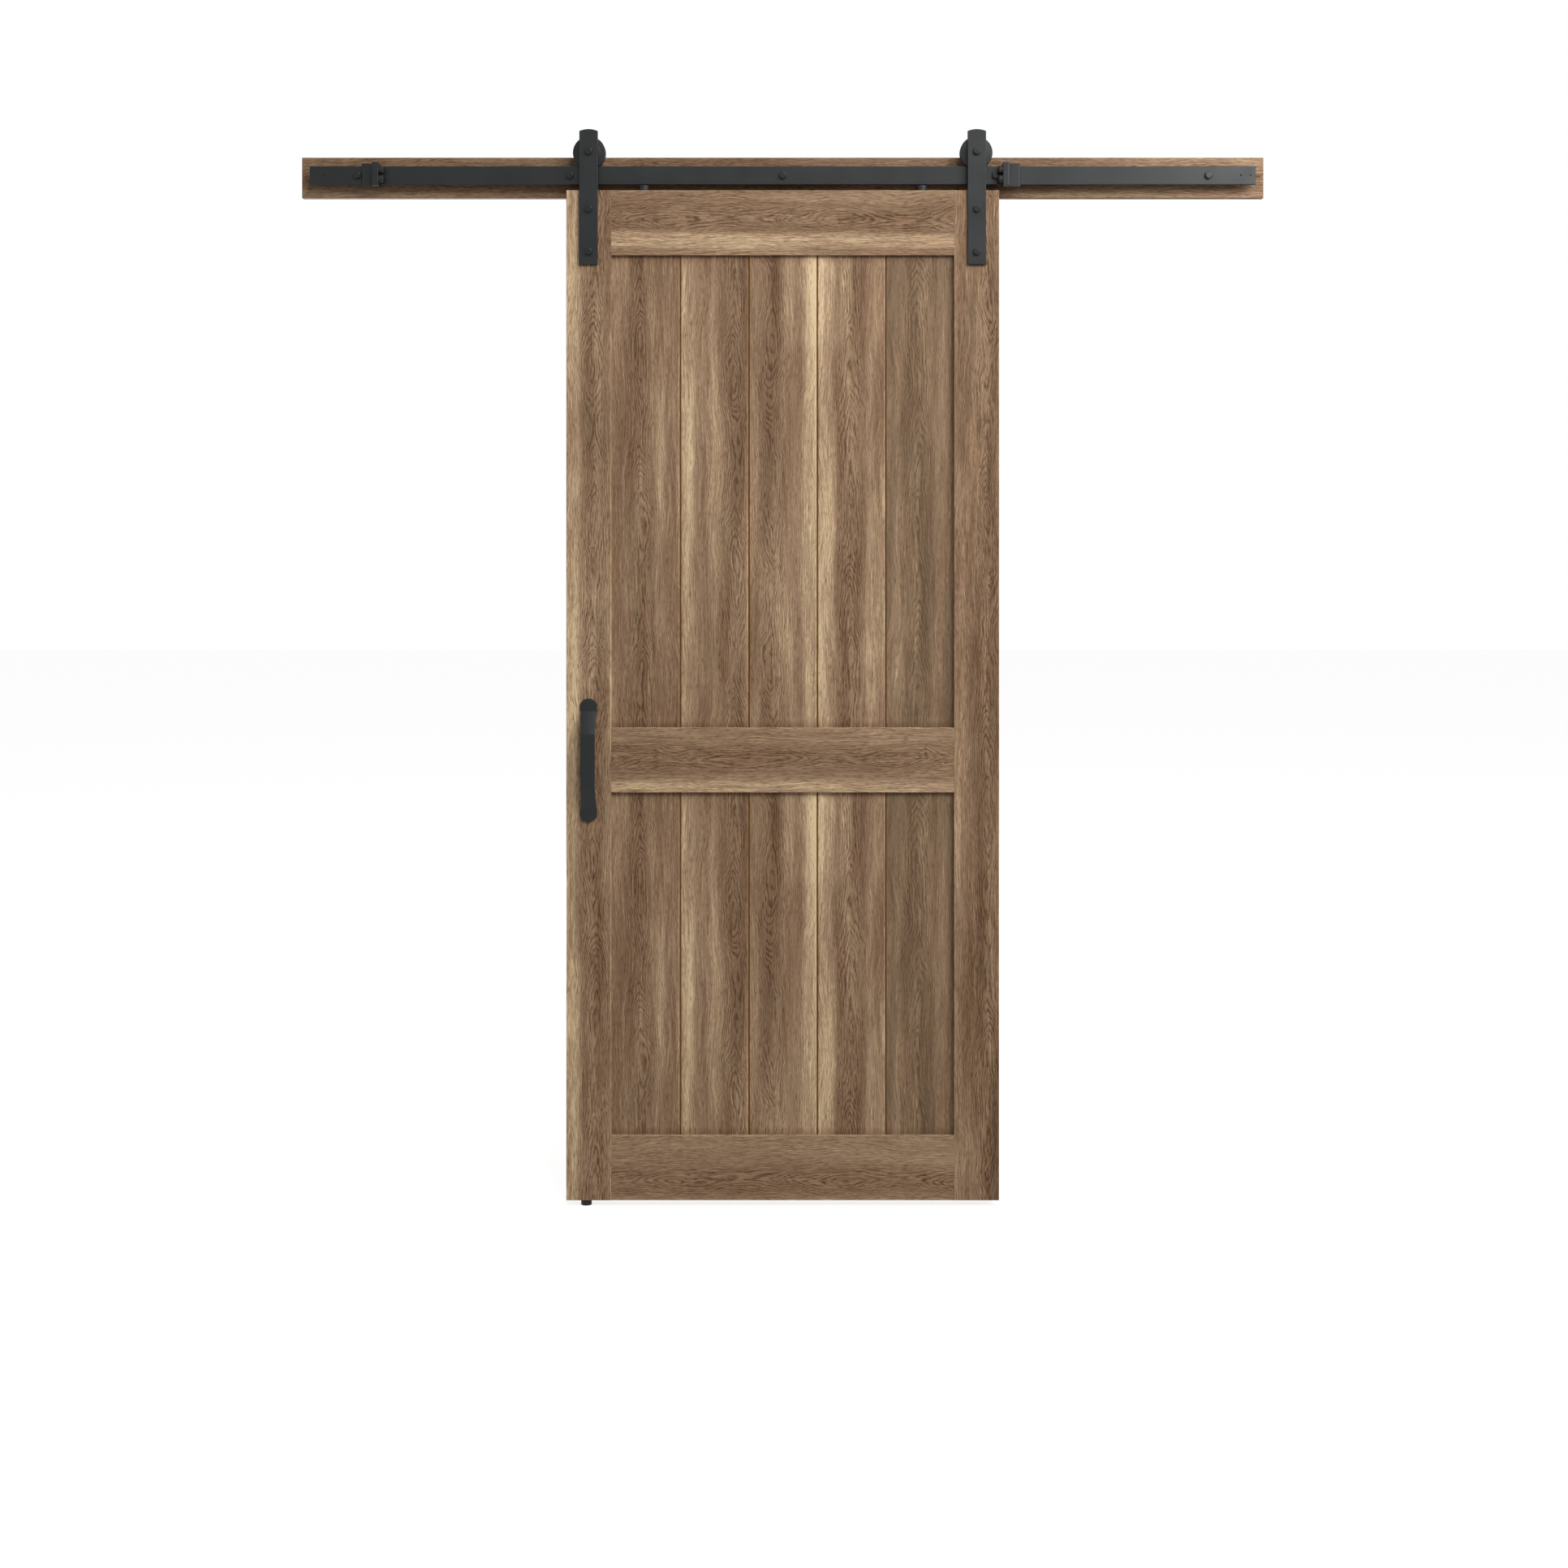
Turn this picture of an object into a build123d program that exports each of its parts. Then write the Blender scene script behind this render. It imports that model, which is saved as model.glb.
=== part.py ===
from build123d import *
import math
import os

os.makedirs("parts", exist_ok=True)

# A planked door leaf that hangs from a flat steel rail on two grooved wheels.
# X runs to the right seen from the front, Y towards the wall, Z up.
# The origin is the middle of the header board's back face.

# Door leaf
leaf_width = 914.4
leaf_height = 2133.6
leaf_thickness = 35.0
stile_width = 95.0
cross_rail_width = 137.0
middle_rail_centre = 930.0
frame_arris = 0.8
tenon_to_bolt = 4.4
tenon_shoulder = 22.0
tenon_clearance = 0.2

# Planks held in a groove all round each opening
plank_count = 5
plank_thickness = 17.0
groove_depth = 10.0
groove_clearance = 0.1
plank_end_gap = 1.0
board_gap = 2.5
tongue_thickness = 6.0
tongue_engagement = 6.0
tongue_end_gap = 0.5
plank_arris = 0.6

# Groove for the floor guide along the leaf's bottom edge
guide_groove_width = 10.0
guide_groove_depth = 16.0

# Header board
header_overhang = 22.5
header_height = 86.0
header_thickness = 19.0
header_edge_radius = 1.5
wall_screw_count = 4
wall_screw_pitch = 406.4
wall_screw_hole = 5.5
wall_screw_countersink = 11.0

# Flat rail
rail_beyond_two_leaves = 176.2
rail_height = 39.0
rail_thickness = 6.0
rail_edge_radius = 1.2
rail_bolt_count = 5
rail_bolt_inset = 100.5
rail_end_hole = 4.5
rail_end_hole_insets = (12.0, 32.0)
spacer_diameter = 22.0

# Bolts, nuts and washers of one thread size
shank_diameter = 9.5
bolt_hole_clearance = 0.35
thread_clearance = 0.05
hex_across_flats = 14.3
hex_head_height = 6.2
hex_face_diameter = 13.2
hex_chamfer_angle = 30.0
nut_height = 6.0
washer_diameter = 22.0
washer_thickness = 1.6
thread_end_proud = 0.8
thread_end_chamfer = 0.8
lag_point_length = 4.0
lag_point_radius = 1.0
header_wood_behind_lag = 2.0

# Hanger straps
strap_width = 39.0
strap_thickness = 6.0
strap_above_axle = 47.0
strap_top_rise = 4.0
strap_arris = 0.8
strap_bolt_inset = 40.0
strap_bolt_pitch = 90.5
strap_below_bolt = 27.2

# Wheels
tread_radius = 27.5
flange_radius = 34.5
wheel_width = 18.0
wheel_boss_radius = 22.5
wheel_boss_proud = 2.0
flange_tip_width = 2.6
flange_tip_ease = 0.65
wheel_rail_clearance = 0.8
wheel_running_gap = 0.3
wheel_front_bore_radius = 9.0
bearing_outer_diameter = 22.2
bearing_width = 7.2
bearing_seal_recess = 0.4
bearing_race_width = 2.0
bearing_fit = 0.02
axle_fit = 0.03
axle_bush_diameter = 14.0
axle_bush_front_length = 7.0
axle_washer_diameter = 14.0
axle_washer_thickness = 1.2

# Leaf position
leaf_back_gap = 8.0
rail_to_leaf = 14.5
floor_gap = 13.0

# End stops, each a clamp round the rail with a block and two rubber bumpers
stop_width = 39.0
stop_wall = 5.0
stop_back_lip = 3.0
stop_mouth_height = 26.0
stop_block_width = 14.5
stop_block_depth = 19.0
stop_block_radius = 4.0
stop_block_inner_radius = 1.0
stop_clamp_radius = 3.0
stop_arris = 0.8
stop_rail_clearance = 0.2
left_stop_from_bolt = 49.0
right_travel = 25.5
bumper_diameter = 17.0
bumper_length = 10.0
bumper_nose = 2.8
bumper_spacing = 19.2
bumper_stem_diameter = 6.0
bumper_stem_length = 7.0
bumper_stem_fit = 0.05
set_screw_diameter = 5.0
set_screw_inset = 9.0
set_screw_socket = 2.5
set_screw_socket_depth = 2.0

# Discs on top of the leaf that keep it from lifting off the rail
anti_jump_from_strap = 115.2
anti_jump_diameter = 24.0
anti_jump_gap = 2.0
anti_jump_edge = 1.0
anti_jump_screw_diameter = 5.0
anti_jump_screw_head = 10.0
anti_jump_screw_length = 32.0

# Pull handle bent from flat bar
handle_length = 260.0
handle_centre_height = 930.0
handle_bar_thickness = 5.0
handle_projection = 31.0
handle_pad_diameter = 38.0
handle_pad_length = 27.5
handle_leg_width = 32.0
handle_grip_width = 30.0
handle_grip_length = 114.0
handle_bend_radius = 6.0
handle_screw_diameter = 6.0
handle_screw_head = 12.0
handle_screw_head_height = 3.2
handle_screw_head_ease = 1.0
handle_thread_cover = 1.4
screw_hole_clearance = 0.25
screw_socket_across = 3.0
screw_socket_depth = 1.8

# Floor guide
guide_offset = 41.2
guide_base_diameter = 22.7
guide_base_gap = 2.5
guide_pin_engagement = 12.0
guide_pin_clearance = 0.3
guide_screw_hole = 4.5
guide_countersink = 7.6
guide_arris = 0.8

# How far a cut runs past the face that it opens
overcut = 1.0

# Places worked out from the sizes above, from the wall forwards
header_front = -header_thickness
leaf_back = header_front - leaf_back_gap
leaf_front = leaf_back - leaf_thickness
leaf_middle = (leaf_front + leaf_back) / 2
strap_front = leaf_front - strap_thickness
wheel_half_width = wheel_width / 2 + wheel_boss_proud
wheel_plane = leaf_front + axle_bush_front_length + wheel_half_width
bearing_front = wheel_plane - bearing_width / 2
bearing_back = wheel_plane + bearing_width / 2
rail_front = wheel_plane - rail_thickness / 2
rail_back = wheel_plane + rail_thickness / 2
stop_clamp_front = rail_front - stop_wall
stop_block_front = stop_clamp_front - stop_block_depth
bumper_plane = (stop_clamp_front + stop_block_front) / 2

# Heights, from the rail down to the floor
rail_top = rail_height / 2
rail_bottom = -rail_height / 2
stop_half_height = rail_height / 2 + stop_wall
axle_height = rail_top + tread_radius + wheel_running_gap
leaf_top = rail_bottom - rail_to_leaf
leaf_bottom = leaf_top - leaf_height
floor_level = leaf_bottom - floor_gap
top_rail_bottom = leaf_top - cross_rail_width
middle_rail_top = leaf_bottom + middle_rail_centre + cross_rail_width / 2
middle_rail_bottom = middle_rail_top - cross_rail_width
bottom_rail_top = leaf_bottom + cross_rail_width
strap_top = axle_height + strap_above_axle
upper_strap_bolt = leaf_top - strap_bolt_inset
lower_strap_bolt = upper_strap_bolt - strap_bolt_pitch
strap_bolt_heights = (upper_strap_bolt, lower_strap_bolt)
strap_bottom = lower_strap_bolt - strap_below_bolt
handle_z = leaf_bottom + handle_centre_height
anti_jump_height = rail_to_leaf - anti_jump_gap

# Places along the rail
leaf_left = -leaf_width / 2
leaf_right = leaf_width / 2
opening_left = leaf_left + stile_width
opening_right = leaf_right - stile_width
strap_x = (leaf_width - stile_width) / 2
strap_centres = {"left": -strap_x, "right": strap_x}
anti_jump_x = strap_x - anti_jump_from_strap
handle_x = -strap_x
guide_x = leaf_left + guide_offset
rail_length = 2 * leaf_width + rail_beyond_two_leaves
header_length = rail_length + 2 * header_overhang
rail_bolt_pitch = (rail_length - 2 * rail_bolt_inset) / (rail_bolt_count - 1)
left_stop_face = rail_bolt_inset + left_stop_from_bolt - rail_length / 2
right_stop_face = strap_x + strap_width / 2 + right_travel + bumper_length

# Radii of what passes through holes
shank_radius = shank_diameter / 2
bolt_hole_radius = shank_radius + bolt_hole_clearance
bearing_radius = bearing_outer_diameter / 2
tenon_length = stile_width / 2 - bolt_hole_radius - tenon_to_bolt


def block(x_range, y_range, z_range):
    """A square block between the two ends given on each axis."""
    ends = (x_range, y_range, z_range)
    centre = [(low + high) / 2 for low, high in ends]
    size = [high - low for low, high in ends]
    return Pos(*centre) * Box(*size)


def turned(points):
    """A solid turned about Y from half-profile points (radius, y)."""
    return revolve(make_face(Polyline(*points, close=True)), Axis.Y)


def turned_upright(points):
    """A solid turned about Z from half-profile points (radius, z)."""
    return revolve(Plane.XZ * make_face(Polyline(*points, close=True)), Axis.Z)


def ring(outer_radius, inner_radius, y_low, y_high):
    """A plain ring about Y."""
    section = [(inner_radius, y_low), (outer_radius, y_low), (outer_radius, y_high), (inner_radius, y_high)]
    return turned(section)


def drill(x, z, radius, y_low, y_high):
    """A round drill along Y."""
    return Pos(x, 0, z) * turned([(0, y_low), (radius, y_low), (radius, y_high), (0, y_high)])


def hex_prism(height):
    """A hexagon standing from y = 0 to y = -height, one corner up, its outer corners turned off."""
    hexagon = Plane.XZ * RegularPolygon(hex_across_flats / 2, 6, major_radius=False, rotation=30)
    face = hex_face_diameter / 2
    outside = hex_across_flats
    cone_foot = (outside - face) * math.tan(math.radians(hex_chamfer_angle)) - height
    cone = turned([(0, 0), (outside, 0), (outside, cone_foot), (face, -height), (0, -height)])
    return extrude(hexagon, amount=height) & cone


def headed_shank(length, point_length, point_radius):
    """A hexagon head seated at y = 0 with a shank running towards the wall to a cone or a point."""
    head_middle = -hex_head_height / 2
    shank = turned(
        [(0, head_middle), (shank_radius, head_middle), (shank_radius, length - point_length),
         (point_radius, length), (0, length)]
    )
    return hex_prism(hex_head_height) + shank


def hex_bolt(length):
    """A hexagon bolt with a chamfered end."""
    return headed_shank(length, thread_end_chamfer, shank_radius - thread_end_chamfer)


def lag_bolt(length):
    """A hexagon head screw with a pointed end for wood."""
    return headed_shank(length, lag_point_length, lag_point_radius)


def hex_nut():
    """A hexagon nut from y = 0 towards the wall."""
    body = Rot(180, 0, 0) * hex_prism(nut_height)
    return body - drill(0, 0, shank_radius + thread_clearance, -overcut, nut_height + overcut)


def spread(count, pitch):
    """Places of a row of so many pieces about the middle."""
    return [(index - (count - 1) / 2) * pitch for index in range(count)]


def in_groove(thickness):
    """The Y range of something centred in the leaf's thickness."""
    return (leaf_middle - thickness / 2, leaf_middle + thickness / 2)


def guide_groove():
    """The groove that runs the whole way along the leaf's bottom edge."""
    x_range = (leaf_left - overcut, leaf_right + overcut)
    z_range = (leaf_bottom - overcut, leaf_bottom + guide_groove_depth)
    return block(x_range, in_groove(guide_groove_width), z_range)


def header_board():
    """The board behind the rail, with pilot holes for the rail bolts and holes for its own wall screws."""
    half_length = header_length / 2
    half_height = header_height / 2
    board = block((-half_length, half_length), (header_front, 0), (-half_height, half_height))
    board = fillet(board.faces().sort_by(Axis.Y)[0].edges(), header_edge_radius)
    mouth = header_front - overcut
    for x in spread(rail_bolt_count, rail_bolt_pitch):
        board -= drill(x, 0, shank_radius + thread_clearance, mouth, -header_wood_behind_lag)
    hole_radius = wall_screw_hole / 2
    sink_radius = wall_screw_countersink / 2
    sink_bottom = header_front + sink_radius - hole_radius
    countersink = turned(
        [(0, mouth), (sink_radius, mouth), (sink_radius, header_front), (hole_radius, sink_bottom),
         (0, sink_bottom)]
    )
    for x in spread(wall_screw_count, wall_screw_pitch):
        board -= drill(x, 0, hole_radius, mouth, overcut)
        board -= Pos(x, 0, 0) * countersink
    return board


def rail():
    """The flat bar that the wheels run on, bolted through spacers."""
    half = rail_length / 2
    bar = block((-half, half), (rail_front, rail_back), (rail_bottom, rail_top))
    bar = fillet(bar.edges().filter_by(Axis.X), rail_edge_radius)
    for x in spread(rail_bolt_count, rail_bolt_pitch):
        bar -= drill(x, 0, bolt_hole_radius, rail_front - overcut, rail_back + overcut)
    for inset in rail_end_hole_insets:
        for x in (inset - half, half - inset):
            bar -= drill(x, 0, rail_end_hole / 2, rail_front - overcut, rail_back + overcut)
    return bar


def rail_spacer(x):
    """A turned tube that holds the rail off the header board."""
    return Pos(x, 0, 0) * ring(spacer_diameter / 2, bolt_hole_radius, rail_back, header_front)


def rail_bolts():
    """The screws that pass through rail and spacers into the header board."""
    length = -header_wood_behind_lag - rail_front - thread_end_proud
    return [Pos(x, rail_front, 0) * lag_bolt(length) for x in spread(rail_bolt_count, rail_bolt_pitch)]


def stop_outline():
    """The stop seen from above, its bumper face at x = 0 and its body on the left."""
    back = rail_back + stop_back_lip
    plan = make_face(
        Polyline(
            (-stop_width, back), (-stop_width, stop_clamp_front), (-stop_block_width, stop_clamp_front),
            (-stop_block_width, stop_block_front), (0, stop_block_front), (0, back), close=True
        )
    )
    block_corner = plan.vertices().sort_by_distance((-stop_block_width, stop_block_front))[0]
    plan = fillet(block_corner, stop_block_radius)
    inner_corner = plan.vertices().sort_by_distance((0, stop_block_front))[0]
    plan = fillet(inner_corner, stop_block_inner_radius)
    clamp_corner = plan.vertices().sort_by_distance((-stop_width, stop_clamp_front))[0]
    return fillet(clamp_corner, stop_clamp_radius)


def left_stop_body():
    """The left end stop: a cast clamp hooked round the rail, with a thick end block."""
    body = Pos(0, 0, -stop_half_height) * extrude(stop_outline(), amount=2 * stop_half_height)
    body = chamfer(body.faces().sort_by(Axis.Z)[-1].edges(), stop_arris)
    body = chamfer(body.faces().sort_by(Axis.Z)[0].edges(), stop_arris)
    gap = stop_rail_clearance
    slot_x = (-stop_width - overcut, overcut)
    body -= block(slot_x, (rail_front - gap, rail_back + gap), (rail_bottom - gap, rail_top + gap))
    mouth = stop_mouth_height / 2
    body -= block(slot_x, (rail_back, rail_back + stop_back_lip + overcut), (-mouth, mouth))
    for z in (-bumper_spacing / 2, bumper_spacing / 2):
        hole = Cylinder(bumper_stem_diameter / 2 + bumper_stem_fit, 2 * (bumper_stem_length + overcut))
        body -= Pos(0, bumper_plane, z) * Rot(0, 90, 0) * hole
    for x in set_screw_places():
        hole = Cylinder(set_screw_diameter / 2, 2 * stop_wall)
        body -= Pos(x, wheel_plane, -stop_half_height) * hole
    return body


def set_screw_places():
    """Where the clamp's two set screws stand, measured from the bumper face."""
    return (-set_screw_inset, set_screw_inset - stop_width)


def bumper():
    """A rubber button with a coned nose on a stem, pointing along +X from x = 0."""
    half = bumper_diameter / 2
    stem = bumper_stem_diameter / 2
    outline = Polyline(
        (-bumper_stem_length, 0), (-bumper_stem_length, stem), (0, stem), (0, half),
        (bumper_length - bumper_nose, half), (bumper_length, half - bumper_nose), (bumper_length, 0), close=True
    )
    return revolve(make_face(outline), Axis.X)


def left_bumpers():
    """The two buttons of the left stop."""
    return [Pos(0, bumper_plane, z) * bumper() for z in (-bumper_spacing / 2, bumper_spacing / 2)]


def set_screw():
    """A headless screw with a socket below, its flat tip at z = 0."""
    length = stop_wall + stop_rail_clearance - stop_arris / 2
    screw = Pos(0, 0, -length / 2) * Cylinder(set_screw_diameter / 2, length)
    socket = RegularPolygon(set_screw_socket / 2, 6, major_radius=False)
    return screw - Pos(0, 0, -length) * extrude(socket, amount=set_screw_socket_depth)


def left_set_screws():
    """The screws in the clamp's lower wall that press on the rail."""
    return [Pos(x, wheel_plane, rail_bottom) * set_screw() for x in set_screw_places()]


def on_side(side, solids):
    """Sets a left stop's solids at their face on the rail, mirrored for the right stop."""
    if side == "left":
        return [Pos(left_stop_face, 0, 0) * solid for solid in solids]
    return [Pos(right_stop_face, 0, 0) * mirror(solid, Plane.YZ) for solid in solids]


def handle_screw_heights():
    """Heights of the two screws through the handle's pads."""
    reach = (handle_length - handle_pad_diameter) / 2
    return (handle_z - reach, handle_z + reach)


def stile(side):
    """An upright of the leaf's frame, grooved for the planks and mortised for the cross rails."""
    outer = {"left": leaf_left, "right": leaf_right}[side]
    inner = {"left": opening_left, "right": opening_right}[side]
    towards_edge = {"left": -1, "right": 1}[side]
    body = block(sorted((outer, inner)), (leaf_front, leaf_back), (leaf_bottom, leaf_top))
    body = chamfer(body.edges().filter_by(Axis.Z), frame_arris)
    groove_x = sorted((inner - towards_edge, inner + towards_edge * groove_depth))
    groove_y = in_groove(plank_thickness + 2 * groove_clearance)
    body -= block(groove_x, groove_y, (leaf_bottom - overcut, leaf_top + overcut))
    mortise_x = sorted((inner, inner + towards_edge * (tenon_length + tenon_clearance)))
    for low in (top_rail_bottom, middle_rail_bottom, leaf_bottom):
        foot = low + tenon_shoulder - tenon_clearance
        head = low + cross_rail_width - tenon_shoulder + tenon_clearance
        body -= block(mortise_x, groove_y, (foot, head))
    body -= guide_groove()
    for z in strap_bolt_heights:
        body -= drill(strap_centres[side], z, bolt_hole_radius, leaf_front - overcut, leaf_back + overcut)
    if side == "left":
        hole_radius = handle_screw_diameter / 2 + screw_hole_clearance
        for z in handle_screw_heights():
            body -= drill(handle_x, z, hole_radius, leaf_front - overcut, leaf_back + overcut)
    return body


def cross_rail(low, grooved_below, grooved_above):
    """A level member of the frame, with a stub in the stiles' groove and a tenon at each end."""
    high = low + cross_rail_width
    body = block((opening_left, opening_right), (leaf_front, leaf_back), (low, high))
    body = chamfer(body.edges().filter_by(Axis.X), frame_arris)
    tenon_y = in_groove(plank_thickness)
    stub_reach = groove_depth - tenon_clearance
    body += block((opening_left - stub_reach, opening_right + stub_reach), tenon_y, (low, high))
    tenon_z = (low + tenon_shoulder, high - tenon_shoulder)
    body += block((opening_left - tenon_length, opening_right + tenon_length), tenon_y, tenon_z)
    groove_x = (opening_left - groove_depth - overcut, opening_right + groove_depth + overcut)
    groove_y = in_groove(plank_thickness + 2 * groove_clearance)
    if grooved_below:
        body -= block(groove_x, groove_y, (low - overcut, low + groove_depth))
    if grooved_above:
        body -= block(groove_x, groove_y, (high - groove_depth, high + overcut))
    return body


def top_rail():
    """The top member, drilled for the anti-jump discs' screws."""
    body = cross_rail(top_rail_bottom, True, False)
    depth = anti_jump_screw_length - anti_jump_height + overcut
    for x in (-anti_jump_x, anti_jump_x):
        hole = Cylinder(anti_jump_screw_diameter / 2 + thread_clearance, 2 * depth)
        body -= Pos(x, leaf_middle, leaf_top) * hole
    return body


def plank(index, low, high):
    """One board of a panel: a tongue on its right edge, a groove on its left, plain edges in the stiles."""
    pitch = (opening_right - opening_left) / plank_count
    left = opening_left + index * pitch + board_gap / 2
    right = opening_left + (index + 1) * pitch - board_gap / 2
    half = plank_thickness / 2
    ease = plank_arris
    tongue = tongue_thickness / 2
    slot = tongue + groove_clearance
    tongue_tip = right + board_gap + tongue_engagement
    slot_bottom = left + tongue_engagement + tongue_end_gap
    points = []
    if index == 0:
        housed = opening_left - groove_depth + tongue_end_gap
        points += [(housed, half), (housed, -half)]
    else:
        points += [(left + ease, half), (left, half - ease), (left, slot), (slot_bottom, slot)]
        points += [(slot_bottom, -slot), (left, -slot), (left, ease - half), (left + ease, -half)]
    if index == plank_count - 1:
        housed = opening_right + groove_depth - tongue_end_gap
        points += [(housed, -half), (housed, half)]
    else:
        points += [(right - ease, -half), (right, ease - half), (right, -tongue), (tongue_tip, -tongue)]
        points += [(tongue_tip, tongue), (right, tongue), (right, half - ease), (right - ease, half)]
    section = Pos(0, leaf_middle, low) * make_face(Polyline(*points, close=True))
    return extrude(section, amount=high - low)


def panel(opening_low, opening_high):
    """The boards of one opening, standing in the lower groove with room at the top."""
    low = opening_low - groove_depth
    high = opening_high + groove_depth - plank_end_gap
    return [plank(index, low, high) for index in range(plank_count)]


def strap(side):
    """A flat steel hanger with a slightly arched top, bolted to the leaf and carrying the axle."""
    half = strap_width / 2
    shoulder = strap_top - strap_top_rise
    outline = make_face(
        [
            ThreePointArc((half, shoulder), (0, strap_top), (-half, shoulder)),
            Line((-half, shoulder), (-half, strap_bottom)),
            Line((-half, strap_bottom), (half, strap_bottom)),
            Line((half, strap_bottom), (half, shoulder)),
        ]
    )
    bar = Pos(0, leaf_front, 0) * extrude(Plane.XZ * outline, amount=strap_thickness)
    bar = chamfer(bar.faces().sort_by(Axis.Y)[0].edges(), strap_arris)
    for z in (axle_height, *strap_bolt_heights):
        bar -= drill(0, z, bolt_hole_radius, strap_front - overcut, leaf_front + overcut)
    return Pos(strap_centres[side], 0, 0) * bar


def strap_bolts(side):
    """The two bolts through a strap and the leaf."""
    length = strap_thickness + leaf_thickness + washer_thickness + nut_height + thread_end_proud
    return [Pos(strap_centres[side], strap_front, z) * hex_bolt(length) for z in strap_bolt_heights]


def strap_washers(side):
    """Flat washers behind the leaf."""
    washer = ring(washer_diameter / 2, bolt_hole_radius, leaf_back, leaf_back + washer_thickness)
    return [Pos(strap_centres[side], 0, z) * washer for z in strap_bolt_heights]


def strap_nuts(side):
    """Nuts behind the leaf."""
    seat = leaf_back + washer_thickness
    return [Pos(strap_centres[side], seat, z) * hex_nut() for z in strap_bolt_heights]


def wheel(side):
    """A grooved wheel with two coned flanges, a raised boss and a pocket for its bearing."""
    face = wheel_width / 2
    boss = wheel_half_width
    groove = rail_thickness / 2 + wheel_rail_clearance
    tip_inner = face - flange_tip_width
    pocket = bearing_radius + bearing_fit
    ease = flange_tip_ease
    outline = [
        (wheel_front_bore_radius, -boss), (wheel_boss_radius, -boss), (wheel_boss_radius, -face),
        (flange_radius - ease, -face), (flange_radius, ease - face), (flange_radius, -tip_inner - ease),
        (flange_radius - ease, -tip_inner), (tread_radius, -groove), (tread_radius, groove),
        (flange_radius - ease, tip_inner), (flange_radius, tip_inner + ease), (flange_radius, face - ease),
        (flange_radius - ease, face), (wheel_boss_radius, face), (wheel_boss_radius, boss), (pocket, boss),
        (pocket, -bearing_width / 2), (wheel_front_bore_radius, -bearing_width / 2),
    ]
    return Pos(strap_centres[side], wheel_plane, axle_height) * turned(outline)


def bearing(side):
    """A sealed ball bearing, its races standing a little proud of the seals."""
    half = bearing_width / 2
    bore = shank_radius + axle_fit
    seal = half - bearing_seal_recess
    inner_race = bore + bearing_race_width
    outer_race = bearing_radius - bearing_race_width
    outline = [
        (bore, -half), (inner_race, -half), (inner_race, -seal), (outer_race, -seal), (outer_race, -half),
        (bearing_radius, -half), (bearing_radius, half), (outer_race, half), (outer_race, seal),
        (inner_race, seal), (inner_race, half), (bore, half),
    ]
    return Pos(strap_centres[side], wheel_plane, axle_height) * turned(outline)


def axle_bush(side):
    """The tube between strap and bearing."""
    tube = axle_bush_diameter / 2
    collar_end = leaf_front + axle_bush_front_length / 2
    bush = ring(tube, shank_radius + thread_clearance, leaf_front, bearing_front)
    collar = ring(wheel_front_bore_radius, tube, leaf_front, collar_end)
    return Pos(strap_centres[side], 0, axle_height) * (bush + collar)


def axle_washer(side):
    """The washer between bearing and nut."""
    back = bearing_back + axle_washer_thickness
    washer = ring(axle_washer_diameter / 2, shank_radius + thread_clearance, bearing_back, back)
    return Pos(strap_centres[side], 0, axle_height) * washer


def axle_nut(side):
    """The nut that closes the axle."""
    return Pos(strap_centres[side], bearing_back + axle_washer_thickness, axle_height) * hex_nut()


def axle_bolt(side):
    """The bolt that the wheel turns on."""
    end = bearing_back + axle_washer_thickness + nut_height + thread_end_proud
    return Pos(strap_centres[side], strap_front, axle_height) * hex_bolt(end - strap_front)


def anti_jump_disc(x):
    """A disc on the leaf's top edge, countersunk for its screw."""
    radius = anti_jump_diameter / 2
    head = anti_jump_screw_head / 2
    hole = anti_jump_screw_diameter / 2 + screw_hole_clearance
    sink_bottom = anti_jump_height - (head - hole)
    outline = [
        (hole, 0), (radius, 0), (radius, anti_jump_height - anti_jump_edge),
        (radius - anti_jump_edge, anti_jump_height), (head, anti_jump_height), (hole, sink_bottom),
    ]
    return Pos(x, leaf_middle, leaf_top) * turned_upright(outline)


def anti_jump_screws():
    """The countersunk screws through the discs into the leaf."""
    head = anti_jump_screw_head / 2 - screw_hole_clearance
    shank = anti_jump_screw_diameter / 2
    top = anti_jump_height
    tip = top - anti_jump_screw_length
    outline = [
        (0, top), (head, top), (shank, top - (head - shank)), (shank, tip + shank), (0, tip),
    ]
    screw = turned_upright(outline)
    socket = RegularPolygon(screw_socket_across / 2, 6, major_radius=False)
    screw -= Pos(0, 0, top - screw_socket_depth) * extrude(socket, amount=screw_socket_depth + overcut)
    return [Pos(x, leaf_middle, leaf_top) * screw for x in (-anti_jump_x, anti_jump_x)]


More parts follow.
